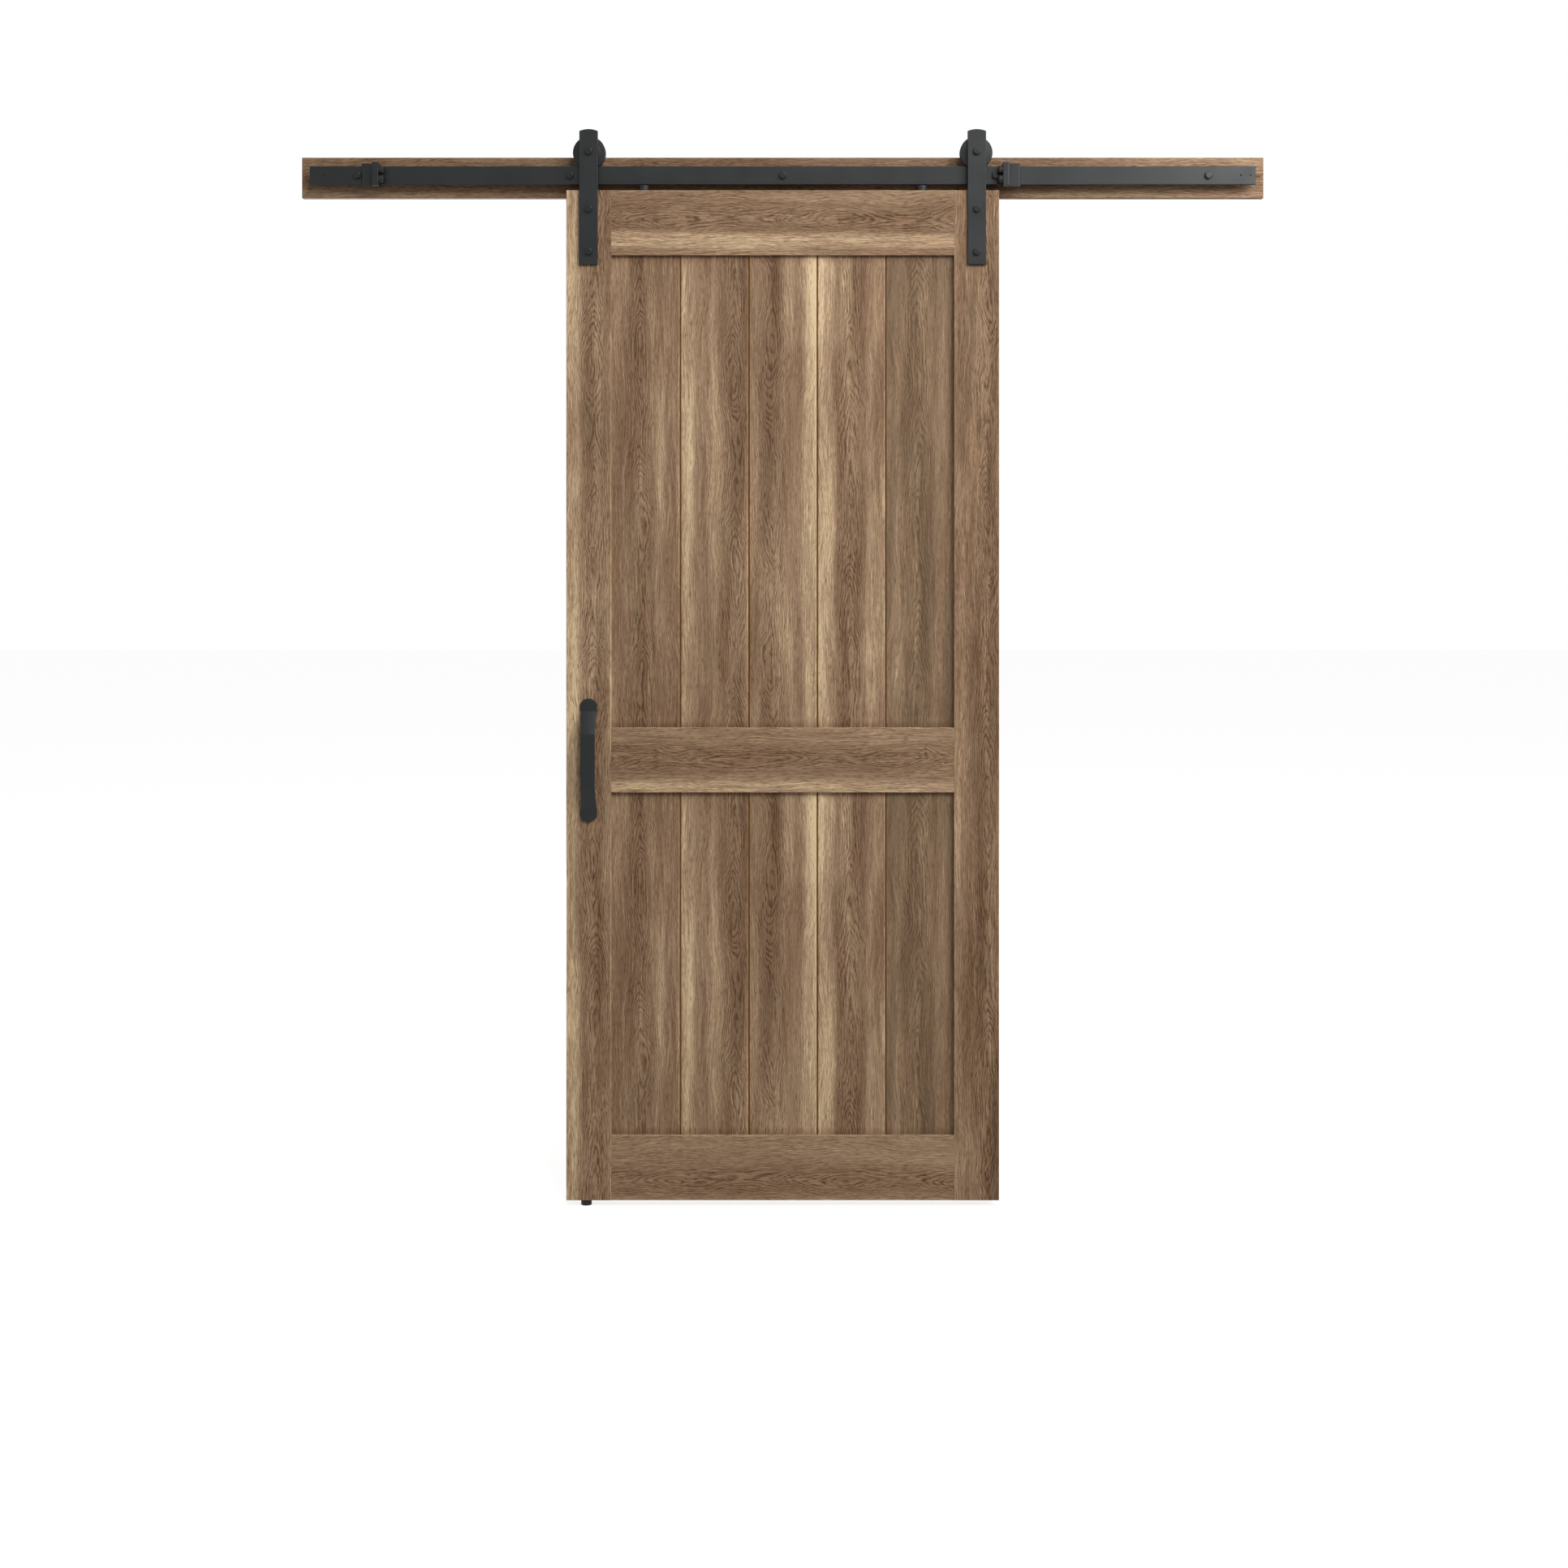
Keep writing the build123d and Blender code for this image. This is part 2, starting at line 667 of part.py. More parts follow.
def handle():
    """A pull of flat bar with round pads, slanting legs and a straight grip."""
    half = handle_length / 2
    pad_bend = half - handle_pad_length
    grip = handle_grip_length / 2
    near = -handle_bar_thickness / 2
    far = handle_bar_thickness / 2 - handle_projection
    path = FilletPolyline(
        (near, -half), (near, -pad_bend), (far, -grip), (far, grip), (near, pad_bend), (near, half),
        radius=handle_bend_radius
    )
    bar = extrude(Plane.YZ * trace(path, handle_bar_thickness), amount=handle_pad_diameter / 2, both=True)
    leg = handle_leg_width / 2
    narrow = handle_grip_width / 2
    outline = make_face(
        Polyline(
            (-leg, -pad_bend), (leg, -pad_bend), (narrow, -grip), (narrow, grip), (leg, pad_bend),
            (-leg, pad_bend), (-narrow, grip), (-narrow, -grip), close=True
        )
    )
    pad_radius = handle_pad_diameter / 2
    for z in (pad_radius - half, half - pad_radius):
        outline += Pos(0, z) * Circle(pad_radius)
    cutter = extrude(Plane.XZ * outline, amount=handle_projection + 2 * overcut)
    body = Pos(handle_x, leaf_front, handle_z) * (bar & (Pos(0, overcut, 0) * cutter))
    hole_radius = handle_screw_diameter / 2 + thread_clearance
    hole_end = leaf_front - handle_bar_thickness + handle_thread_cover
    for z in handle_screw_heights():
        body -= drill(handle_x, z, hole_radius, hole_end, leaf_front + overcut)
    return body


def handle_screws():
    """Screws from behind the leaf into the handle's pads."""
    shank = handle_screw_diameter / 2
    head = handle_screw_head / 2
    reach = leaf_thickness + handle_bar_thickness - handle_thread_cover - thread_end_proud
    head_height = handle_screw_head_height
    ease = handle_screw_head_ease
    outline = [
        (0, -reach), (shank, -reach), (shank, 0), (head, 0), (head, head_height - ease),
        (head - ease, head_height), (0, head_height),
    ]
    screw = turned(outline)
    socket = Plane.XZ * RegularPolygon(screw_socket_across / 2, 6, major_radius=False)
    screw -= Pos(0, head_height + overcut, 0) * extrude(socket, amount=screw_socket_depth + overcut)
    return [Pos(handle_x, leaf_back, z) * screw for z in handle_screw_heights()]


def floor_guide():
    """A turned guide on the floor, its pin standing in the leaf's groove and bored for one screw."""
    base = guide_base_diameter / 2
    pin = guide_groove_width / 2 - guide_pin_clearance
    hole = guide_screw_hole / 2
    sink = guide_countersink / 2
    base_top = floor_gap - guide_base_gap
    top = floor_gap + guide_pin_engagement
    outline = [
        (hole, 0), (base, 0), (base, base_top - guide_arris), (base - guide_arris, base_top),
        (pin, base_top), (pin, top), (sink, top), (hole, top - (sink - hole)),
    ]
    return Pos(guide_x, leaf_middle, floor_level) * turned_upright(outline)


def write(name, solids):
    """Writes one piece, or a group of like pieces, to its own file."""
    shape = solids[0] if len(solids) == 1 else Compound(children=list(solids))
    export_step(shape, f"parts/{name}.step")


write("header_board", [header_board()])
write("rail", [rail()])
for number, place in enumerate(spread(rail_bolt_count, rail_bolt_pitch), 1):
    write(f"rail_spacer_{number}", [rail_spacer(place)])
write("rail_bolts", rail_bolts())

for side in ("left", "right"):
    write(f"stop_{side}", on_side(side, [left_stop_body()]))
    write(f"stop_bumpers_{side}", on_side(side, left_bumpers()))
    write(f"stop_set_screws_{side}", on_side(side, left_set_screws()))
    write(f"strap_{side}", [strap(side)])
    write(f"strap_bolts_{side}", strap_bolts(side))
    write(f"strap_washers_{side}", strap_washers(side))
    write(f"strap_nuts_{side}", strap_nuts(side))
    write(f"wheel_{side}", [wheel(side)])
    write(f"wheel_bearing_{side}", [bearing(side)])
    write(f"axle_bolt_{side}", [axle_bolt(side)])
    write(f"axle_bush_{side}", [axle_bush(side)])
    write(f"axle_washer_{side}", [axle_washer(side)])
    write(f"axle_nut_{side}", [axle_nut(side)])
    write(f"stile_{side}", [stile(side)])

write("top_rail", [top_rail()])
write("middle_rail", [cross_rail(middle_rail_bottom, True, True)])
write("bottom_rail", [cross_rail(leaf_bottom, False, True) - guide_groove()])
openings = {"upper": (middle_rail_top, top_rail_bottom), "lower": (bottom_rail_top, middle_rail_bottom)}
for level, (low, high) in openings.items():
    for number, board in enumerate(panel(low, high), 1):
        write(f"{level}_plank_{number}", [board])

for side, x in (("left", -anti_jump_x), ("right", anti_jump_x)):
    write(f"anti_jump_disc_{side}", [anti_jump_disc(x)])
write("anti_jump_screws", anti_jump_screws())
write("handle", [handle()])
write("handle_screws", handle_screws())
write("floor_guide", [floor_guide()])
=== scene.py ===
import math

import bmesh
import bpy
import numpy as np
from bpy.props import FloatProperty, FloatVectorProperty, PointerProperty
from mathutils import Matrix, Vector


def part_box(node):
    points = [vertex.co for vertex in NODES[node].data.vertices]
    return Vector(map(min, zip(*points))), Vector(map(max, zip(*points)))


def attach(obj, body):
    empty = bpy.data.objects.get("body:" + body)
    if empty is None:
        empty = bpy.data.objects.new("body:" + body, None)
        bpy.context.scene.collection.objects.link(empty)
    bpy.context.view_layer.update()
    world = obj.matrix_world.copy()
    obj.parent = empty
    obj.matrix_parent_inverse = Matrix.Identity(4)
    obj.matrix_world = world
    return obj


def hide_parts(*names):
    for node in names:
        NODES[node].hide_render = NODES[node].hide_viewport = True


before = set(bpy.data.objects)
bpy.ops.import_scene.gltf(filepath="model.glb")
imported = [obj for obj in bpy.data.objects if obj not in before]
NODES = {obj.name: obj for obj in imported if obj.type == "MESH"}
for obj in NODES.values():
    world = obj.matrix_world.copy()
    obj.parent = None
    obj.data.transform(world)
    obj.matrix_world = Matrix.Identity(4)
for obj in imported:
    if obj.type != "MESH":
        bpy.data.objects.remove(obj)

bl_info = {
    "name": "Sliding plank door",
    "version": (1, 0, 0),
    "blender": (4, 5, 0),
    "location": "3D View > Sidebar > Plank Door",
    "description": "Finishes an oak plank door on a flat black rail, and sets it on a plain stage",
    "category": "Object",
}

MM = 0.001
SIDES = ("left", "right")

# Hexagon heads and nuts of the 3/8 inch bolts, in mm. The crown leaves a round flat of FACE_RADIUS.
ACROSS_FLATS = 14.3
HEAD_HEIGHT = 6.2
NUT_HEIGHT = 6.0
FACE_RADIUS = 6.6
SHANK_RADIUS = 4.75
BORE_RADIUS = 4.8
FORGED_EASE = 0.3
SEAT_EASE = 0.25
CROWN_SLOPE = math.tan(math.radians(30))
HEXAGON_TURNS = 96

# The oak's figure, in mm: the trough whose level lines are the rings, and what bends and roughens them
TROUGH_SIDES = 0.4
TROUGH_POINT = 9.0
TROUGH_CURVE = 0.008
TROUGH_THROUGH = 0.6
WANDER_SIDEWAYS = 34.0
WANDER_DEPTH = 40.0
RIPPLE_DEPTH = 6.5
RING_RAGGEDNESS = 3.0
RING_VARIATION = 1.8
PARTING = 0.07
# The core is darker and its rings bolder, up to these distances from the heart line
BOLD_RINGS = (10.0, 42.0)
DARK_CORE = (12.0, 50.0)
# Half the thickness of a plank's tongue
TONGUE = (3.4, 3.6)


def linear(hex_colour):
    """An sRGB hex colour as linear red, green and blue."""
    values = [int(hex_colour[i:i + 2], 16) / 255 for i in (1, 3, 5)]
    return tuple(v / 12.92 if v <= 0.04045 else ((v + 0.055) / 1.055) ** 2.4 for v in values)


def opaque(colour):
    """A colour with full alpha."""
    return (*colour, 1.0)


def add(tree, kind, settings=None, links=None):
    """Adds one node. Lower-case keys are its properties, other keys its inputs.

    An input may be given by its number: 0, 1 and 2 of a Math node, 1 to 4 of a Map Range (from the first
    two to the last two), 0 of a Mix for the share and 6 and 7 for its colours.
    """
    node = tree.nodes.new(kind)
    for key, value in (settings or {}).items():
        if isinstance(key, str) and key[0].islower():
            setattr(node, key, value)
        else:
            node.inputs[key].default_value = value
    for key, socket in (links or {}).items():
        tree.links.new(socket, node.inputs[key])
    return node


def new_material(name):
    """An empty node material with its output, as (material, tree, output)."""
    material = bpy.data.materials.new(name)
    material.use_nodes = True
    tree = material.node_tree
    tree.nodes.clear()
    return material, tree, add(tree, "ShaderNodeOutputMaterial")


def dress(material, *names):
    """Gives CAD nodes one material all over."""
    for name in names:
        node = NODES[name]
        node.data.materials.clear()
        node.data.materials.append(material)


def box_mm(name):
    """Lowest and highest corner of a node in mm."""
    return (np.array(corner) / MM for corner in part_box(name))


def rounded(corners, radii, steps=6):
    """A closed line whose corners are rounded.

    At each corner an arc of the given radius touches both sides: its centre lies on the corner's bisector
    at radius / sin(half angle), and its points turn evenly from one touching point to the other.
    """
    corners = np.asarray(corners, float)
    radii = np.broadcast_to(np.asarray(radii, float), len(corners))[:, None]
    back = np.roll(corners, 1, axis=0) - corners
    ahead = np.roll(corners, -1, axis=0) - corners
    back /= np.linalg.norm(back, axis=1, keepdims=True)
    ahead /= np.linalg.norm(ahead, axis=1, keepdims=True)
    half = np.arccos(np.clip((back * ahead).sum(1, keepdims=True), -1, 1)) / 2
    centre = corners + (back + ahead) / (2 * np.cos(half)) * radii / np.sin(half)
    start = corners + back * radii / np.tan(half) - centre
    end = corners + ahead * radii / np.tan(half) - centre
    swept = (np.pi - 2 * half)[:, None]
    part = np.linspace(0, 1, steps)[None, :, None]
    arc = np.sin((1 - part) * swept) * start[:, None] + np.sin(part * swept) * end[:, None]
    return (centre[:, None] + arc / np.sin(swept)).reshape(-1, 2)


def skin(rings, closed):
    """Faces over rings of points, an array (rings, points, 3), joined in order.

    Closed rings go round to the first again, as on a washer. Otherwise the two ends are flat caps.
    """
    count, around = rings.shape[:2]
    index = np.arange(count * around).reshape(count, around)
    low = index if closed else index[:-1]
    high = np.roll(index, -1, axis=0) if closed else index[1:]
    faces = np.stack([low, np.roll(low, -1, 1), np.roll(high, -1, 1), high], -1).reshape(-1, 4).tolist()
    if not closed:
        faces += [index[0][::-1].tolist(), index[-1].tolist()]
    return rings.reshape(-1, 3), faces


def piece(name, parts, material, body, slot, *nodes, crease=28):
    """One new object from (points in mm, faces) parts, in place of CAD nodes, riding on their body."""
    offsets = np.cumsum([0] + [len(points) for points, _ in parts[:-1]])
    points = np.concatenate([points for points, _ in parts]) * MM
    faces = [[corner + offset for corner in face] for (_, own), offset in zip(parts, offsets) for face in own]
    mesh = bpy.data.meshes.new(name)
    mesh.from_pydata(points.tolist(), [], faces)
    work = bmesh.new()
    work.from_mesh(mesh)
    bmesh.ops.recalc_face_normals(work, faces=work.faces)
    work.to_mesh(mesh)
    work.free()
    mesh.shade_smooth()
    mesh.set_sharp_from_angle(angle=math.radians(crease))
    mesh.materials.append(material)
    thing = bpy.data.objects.new(name, mesh)
    bpy.context.scene.collection.objects.link(thing)
    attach(thing, body)
    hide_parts(*nodes)


def directions(turns):
    """Angles spread evenly round the Y axis."""
    return np.linspace(0, 2 * np.pi, turns, endpoint=False)


def turned(rows, centre, turns, closed):
    """Rows of (radius, y) swung round the Y axis through centre, closed like a washer or capped like a pin.

    A point in direction a is (radius * cos(a), y, radius * sin(a)) from the centre. A radius or y is one
    number, or one for each direction.
    """
    angle = directions(turns)
    radius, along = (np.stack([np.broadcast_to(row[k], turns) for row in rows]) for k in (0, 1))
    rings = np.stack([
        centre[0] + radius * np.cos(angle), centre[1] + along, centre[2] + radius * np.sin(angle),
    ], -1)
    return skin(rings, closed)


def plate(outline, front, back, round_front, round_back, steps=5, margin=0.2):
    """A plate with a closed outline of (x, z), whose rims are rolled over.

    Near each face the outline shrinks along its own normals by radius * (1 - sin(a)) while y moves by
    radius * (1 - cos(a)), a quarter turn in all. One more ring in each flat face, a margin inside the
    rolled rim, keeps the face's shading flat.
    """
    outline = np.asarray(outline, float)
    along = np.roll(outline, -1, axis=0) - np.roll(outline, 1, axis=0)
    inward = np.stack([-along[:, 1], along[:, 0]], -1) / np.linalg.norm(along, axis=1, keepdims=True)
    turn = np.linspace(0, np.pi / 2, steps)
    inset = np.concatenate([
        [round_front + margin], round_front * (1 - np.sin(turn)),
        round_back * (1 - np.cos(turn)), [round_back + margin],
    ])
    depth = np.concatenate([
        [front], front + round_front * (1 - np.cos(turn)), back - round_back * (1 - np.sin(turn)), [back],
    ])
    shrunk = outline[None] + inward[None] * inset[:, None, None]
    rings = np.stack([
        shrunk[..., 0], np.broadcast_to(depth[:, None], shrunk.shape[:2]), shrunk[..., 1],
    ], -1)
    return skin(rings, closed=False)


def hexagon():
    """Distance from the axis to a hexagon's sides in each direction, its corners up and down.

    It is half the width across flats over the cosine of the angle from the nearest side's middle.
    """
    from_flat = (directions(HEXAGON_TURNS) + np.pi / 6) % (np.pi / 3) - np.pi / 6
    return ACROSS_FLATS / 2 / np.cos(from_flat)


def bolt(centre, length, point, tip_radius):
    """A forged hexagon head on a shank, seated at centre with the head towards the room.

    The turned crown falls by CROWN_SLOPE for each millimetre outside the round face, so it cuts the six
    sides in shallow arcs. The shank narrows to tip_radius over its last point mm.
    """
    side = hexagon()
    crown = -HEAD_HEIGHT + (side - FACE_RADIUS) * CROWN_SLOPE
    rows = (
        (FACE_RADIUS - 4 * FORGED_EASE, -HEAD_HEIGHT), (FACE_RADIUS - FORGED_EASE, -HEAD_HEIGHT),
        (FACE_RADIUS + FORGED_EASE * 0.6, -HEAD_HEIGHT + FORGED_EASE * 0.35),
        (side - FORGED_EASE, crown - FORGED_EASE * 0.58), (side, crown + FORGED_EASE * 0.6),
        (side, -SEAT_EASE), (side - SEAT_EASE, 0),
        (SHANK_RADIUS, 0), (SHANK_RADIUS, length - point), (tip_radius, length),
    )
    return turned(rows, centre, HEXAGON_TURNS, closed=False)


def nut(centre, countersink=0.7):
    """A hexagon nut seated at centre, its crown towards the wall, with a countersunk bore."""
    side = hexagon()
    crown = NUT_HEIGHT - (side - FACE_RADIUS) * CROWN_SLOPE
    rows = (
        (BORE_RADIUS, 0), (side - SEAT_EASE, 0), (side, SEAT_EASE), (side, crown - FORGED_EASE * 0.6),
        (side - FORGED_EASE, crown + FORGED_EASE * 0.58),
        (FACE_RADIUS + FORGED_EASE * 0.6, NUT_HEIGHT - FORGED_EASE * 0.35),
        (FACE_RADIUS - FORGED_EASE, NUT_HEIGHT), (BORE_RADIUS + countersink, NUT_HEIGHT),
        (BORE_RADIUS, NUT_HEIGHT - countersink),
    )
    return turned(rows, centre, HEXAGON_TURNS, closed=True)


def head_centres(name, count):
    """Middles in mm of the hexagons in one node, spread evenly between its box's ends."""
    low, high = box_mm(name)
    margin = np.array([ACROSS_FLATS / 2, 0, ACROSS_FLATS / 2 / math.cos(math.radians(30))])
    return np.linspace(low + margin, high - margin, count)


class OakSettings(bpy.types.PropertyGroup):
    """The oak's colours and the size of its grain."""

    palest: FloatVectorProperty(
        name="Bright sapwood", description="Colour of the palest fibres in the sapwood", subtype="COLOR",
        default=linear("#D6BE9A"), min=0, max=1,
    )
    pale: FloatVectorProperty(
        name="Sapwood", description="Colour of the pale streaks beside the bark", subtype="COLOR",
        default=linear("#C6AC87"), min=0, max=1,
    )
    light: FloatVectorProperty(
        name="Light heartwood", description="Colour of the wood between the growth rings", subtype="COLOR",
        default=linear("#9C8065"), min=0, max=1,
    )
    middle: FloatVectorProperty(
        name="Heartwood", description="Colour of the bulk of the wood", subtype="COLOR",
        default=linear("#7C6048"), min=0, max=1,
    )
    dark: FloatVectorProperty(
        name="Ring and pore", description="Colour of the open pores along each growth ring", subtype="COLOR",
        default=linear("#4C321B"), min=0, max=1,
    )
    grey: FloatVectorProperty(
        name="Greyed wood", description="Colour that weather and oil draw the wood towards", subtype="COLOR",
        default=linear("#7C7059"), min=0, max=1,
    )
    raw: FloatVectorProperty(
        name="Raw wood", description="Colour of the planks' tongues, which got no oil", subtype="COLOR",
        default=linear("#C08A50"), min=0, max=1,
    )
    ring_pitch: FloatProperty(
        name="Ring spacing", description="Distance between growth rings", unit="LENGTH",
        default=3.5 * MM, min=MM,
    )
    fibre_width: FloatProperty(
        name="Fibre width", description="Width of a streak of fibres", unit="LENGTH",
        default=1.9 * MM, min=0.1 * MM,
    )
    fibre_length: FloatProperty(
        name="Fibre length", description="Length of a streak of fibres", unit="LENGTH",
        default=60 * MM, min=MM,
    )
    pore_width: FloatProperty(
        name="Pore width", description="Width of a row of pores", unit="LENGTH",
        default=1.3 * MM, min=0.1 * MM,
    )
    pore_length: FloatProperty(
        name="Pore length", description="Length of a row of pores", unit="LENGTH", default=14 * MM, min=MM,
    )


class IronSettings(bpy.types.PropertyGroup):
    """The coated steel."""

    coat: FloatVectorProperty(
        name="Powder coat", description="Colour of the coated bar, straps and wheels", subtype="COLOR",
        default=linear("#161819"), min=0, max=1,
    )
    fastener: FloatVectorProperty(
        name="Black bolt", description="Colour of the bolts, nuts and washers", subtype="COLOR",
        default=linear("#101111"), min=0, max=1,
    )
    grain: FloatProperty(
        name="Coat texture", description="Size of the powder coat's fine bumps", unit="LENGTH",
        default=0.9 * MM, min=0.1 * MM,
    )


class StageSettings(bpy.types.PropertyGroup):
    """The camera, lamps and floor."""

    camera_distance: FloatProperty(
        name="Camera distance", description="From the lens to the leaf's front face", unit="LENGTH",
        default=4.6,
    )
    camera_height: FloatProperty(
        name="Camera height", description="Height of the lens above the floor", unit="LENGTH", default=1.357,
    )
    lens: FloatProperty(name="Lens", description="Focal length", unit="CAMERA", default=50)
    key_power: FloatProperty(
        name="Key lamp", description="Power of the large lamp at the upper right", unit="POWER", default=255,
    )
    side_power: FloatProperty(
        name="Side lamp", description="Power of the small lamp beside the header's right end", unit="POWER",
        default=14,
    )
    front_power: FloatProperty(
        name="Front lamp", description="Power of the lamp above the camera", unit="POWER", default=85,
    )
    rim_power: FloatProperty(
        name="Rim lamp", description="Power of the lamp far to the right", unit="POWER", default=13,
    )
    back_power: FloatProperty(
        name="Back lamp", description="Power of the low lamp behind the door", unit="POWER", default=68,
    )
    fill: FloatProperty(name="Fill", description="Brightness of the light from all round", default=0.45)
    paper_shade: FloatProperty(
        name="Floor shade", description="Share of the lamps' light that the floor sends back", default=0.45,
    )
    paper_glow: FloatProperty(
        name="Floor glow", description="What the camera sees added, so that the floor is white",
        default=0.772,
    )


def board_box(name):
    """Centre and size of a board in metres."""
    low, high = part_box(name)
    return (low + high) / 2, high - low


def in_view(board, neighbour):
    """Where a frame board's near edge crosses a plank, in mm from the plank's middle."""
    middle = board_box(board)[0]
    low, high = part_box(neighbour)
    if neighbour.startswith("stile"):
        return ((low.x if low.x > middle.x else high.x) - middle.x) / MM
    return ((low.z if low.z > middle.z else high.z) - middle.z) / MM


def oak(name, board, level=False, heart=0.0, slope=0.07, swell=7.0, swell_length=380.0, swell_at=0.0,
        slide=0.0, seed=0.0, streaks=(), edges=(), ends=(), tone=0.0, cloudy=0.9, grey=0.0, raw_edges=False):
    """Flat-sawn oak, brown with age, brushed and oiled: pointed arches and long eyes of growth rings along
    the heart line, dark open pores, and soft pale sapwood near some edges.

    The grain is worked out in millimetres from the board's centre: u across, w through and v along, which
    runs up an upright board and to the left on a level one. The rings are level lines of 0.4 * sqrt(h * h
    + 9) + 0.008 * h * h + 0.6 * w + slope * v + swell * cos(turns of v), where h is u from the heart line.
    That is a pointed trough that climbs along the board and waves once every swell_length, with its crest
    at swell_at, so that arches stack up along the heart and close into an eye where the wave turns back.
    Slow and fine noise bends it. Fibres and pores run along v and part round the eyes. streaks holds
    (centre, half width, softness, lift) of sapwood in u. edges and ends hold (place, lift, inner, outer) in
    u and v of bands painted lighter or darker: painted highlights on arrises that face the lamps, painted
    shade on arrises that face away and in the corners beside the frame, and paler board ends, which at the
    header's right end are a painted pool of light. The lift is whole up to inner from the place and gone at
    outer.
    """
    settings = bpy.context.scene.door_oak
    centre = board_box(board)[0]
    material, tree, output = new_material(name)
    coords = add(tree, "ShaderNodeTexCoord")
    turn = (0, math.radians(90), 0) if level else (0, 0, 0)
    middle = Vector((centre.z, centre.y, -centre.x)) if level else centre
    placed = add(tree, "ShaderNodeMapping", {
        "Scale": (1 / MM, 1 / MM, 1 / MM), "Rotation": turn,
        "Location": (-middle.x / MM, -middle.y / MM, -middle.z / MM + slide),
    }, {"Vector": coords.outputs["Object"]})
    parts = add(tree, "ShaderNodeSeparateXYZ", links={0: placed.outputs[0]})
    across, through, along = parts.outputs

    # Slow wander of the whole figure: sideways in red, in depth in green
    slow_place = add(tree, "ShaderNodeVectorMath", {
        "operation": "MULTIPLY_ADD", 1: (1 / 130, 1 / 130, 1 / 190), 2: (seed, 0, seed * 1.7),
    }, {0: placed.outputs[0]})
    slow = add(tree, "ShaderNodeTexNoise", {"Scale": 1.0, "Detail": 2.0, "Roughness": 0.45},
               {"Vector": slow_place.outputs[0]})
    wander = add(tree, "ShaderNodeVectorMath", {"operation": "SUBTRACT", 1: (0.5, 0.5, 0.5)},
                 {0: slow.outputs["Color"]})
    wander_parts = add(tree, "ShaderNodeSeparateXYZ", links={0: wander.outputs[0]})
    sideways = add(tree, "ShaderNodeMath", {"operation": "MULTIPLY_ADD", 1: WANDER_SIDEWAYS},
                   {0: wander_parts.outputs[0], 2: across})
    off_heart = add(tree, "ShaderNodeMath", {"operation": "SUBTRACT", 1: heart}, {0: sideways.outputs[0]})

    # The trough that the rings are level lines of
    wave = add(tree, "ShaderNodeMath", {
        "operation": "MULTIPLY_ADD", 1: math.tau / swell_length, 2: -swell_at * math.tau / swell_length,
    }, {0: along})
    wave = add(tree, "ShaderNodeMath", {"operation": "COSINE"}, {0: wave.outputs[0]})
    square = add(tree, "ShaderNodeMath", {"operation": "MULTIPLY"},
                 {0: off_heart.outputs[0], 1: off_heart.outputs[0]})
    trough = add(tree, "ShaderNodeMath", {"operation": "ADD", 1: TROUGH_POINT}, {0: square.outputs[0]})
    trough = add(tree, "ShaderNodeMath", {"operation": "SQRT"}, {0: trough.outputs[0]})
    trough = add(tree, "ShaderNodeMath", {"operation": "MULTIPLY", 1: TROUGH_SIDES}, {0: trough.outputs[0]})
    for term, weight in (
        (square.outputs[0], TROUGH_CURVE), (through, TROUGH_THROUGH), (along, slope),
        (wave.outputs[0], swell), (wander_parts.outputs[1], WANDER_DEPTH),
    ):
        trough = add(tree, "ShaderNodeMath", {"operation": "MULTIPLY_ADD", 1: weight},
                     {0: term, 2: trough.outputs[0]})
    ripple_place = add(tree, "ShaderNodeVectorMath", {
        "operation": "MULTIPLY_ADD", 1: (1 / 12, 1 / 12, 1 / 50), 2: (0, seed, 0),
    }, {0: placed.outputs[0]})
    ripple = add(tree, "ShaderNodeTexNoise", {"Scale": 1.0, "Detail": 3.0, "Roughness": 0.6},
                 {"Vector": ripple_place.outputs[0]})
    radius = add(tree, "ShaderNodeMath", {"operation": "MULTIPLY_ADD", 1: RIPPLE_DEPTH},
                 {0: ripple.outputs[0], 2: trough.outputs[0]})

    # Fibres and pores, drawn coarser than the real 0.3 mm ones, which are too fine to show
    parting = add(tree, "ShaderNodeMath", {"operation": "MULTIPLY_ADD", 1: PARTING, 2: 1.0},
                  {0: wave.outputs[0]})
    fibre_across = add(tree, "ShaderNodeMath", {"operation": "MULTIPLY"},
                       {0: off_heart.outputs[0], 1: parting.outputs[0]})
    run = add(tree, "ShaderNodeCombineXYZ", links={0: fibre_across.outputs[0], 1: through, 2: along})
    fibre_place = add(tree, "ShaderNodeVectorMath", {
        "operation": "MULTIPLY_ADD", 1: (MM / settings.fibre_width, 1 / 8, MM / settings.fibre_length),
        2: (seed, seed, 0),
    }, {0: run.outputs[0]})
    fibre = add(tree, "ShaderNodeTexNoise", {"Scale": 1.0, "Detail": 2.0, "Roughness": 0.6},
                {"Vector": fibre_place.outputs[0]})
    pore_place = add(tree, "ShaderNodeVectorMath", {
        "operation": "MULTIPLY_ADD", 1: (MM / settings.pore_width, 1 / 4, MM / settings.pore_length),
        2: (seed, 3.1, 0),
    }, {0: run.outputs[0]})
    pore_noise = add(tree, "ShaderNodeTexNoise", {"Scale": 1.0, "Detail": 2.0, "Roughness": 0.55},
                     {"Vector": pore_place.outputs[0]})
    pore = add(tree, "ShaderNodeMapRange", {
        "interpolation_type": "SMOOTHSTEP", 1: 0.52, 2: 0.70, 3: 0.0, 4: 1.0,
    }, {0: pore_noise.outputs[0]})

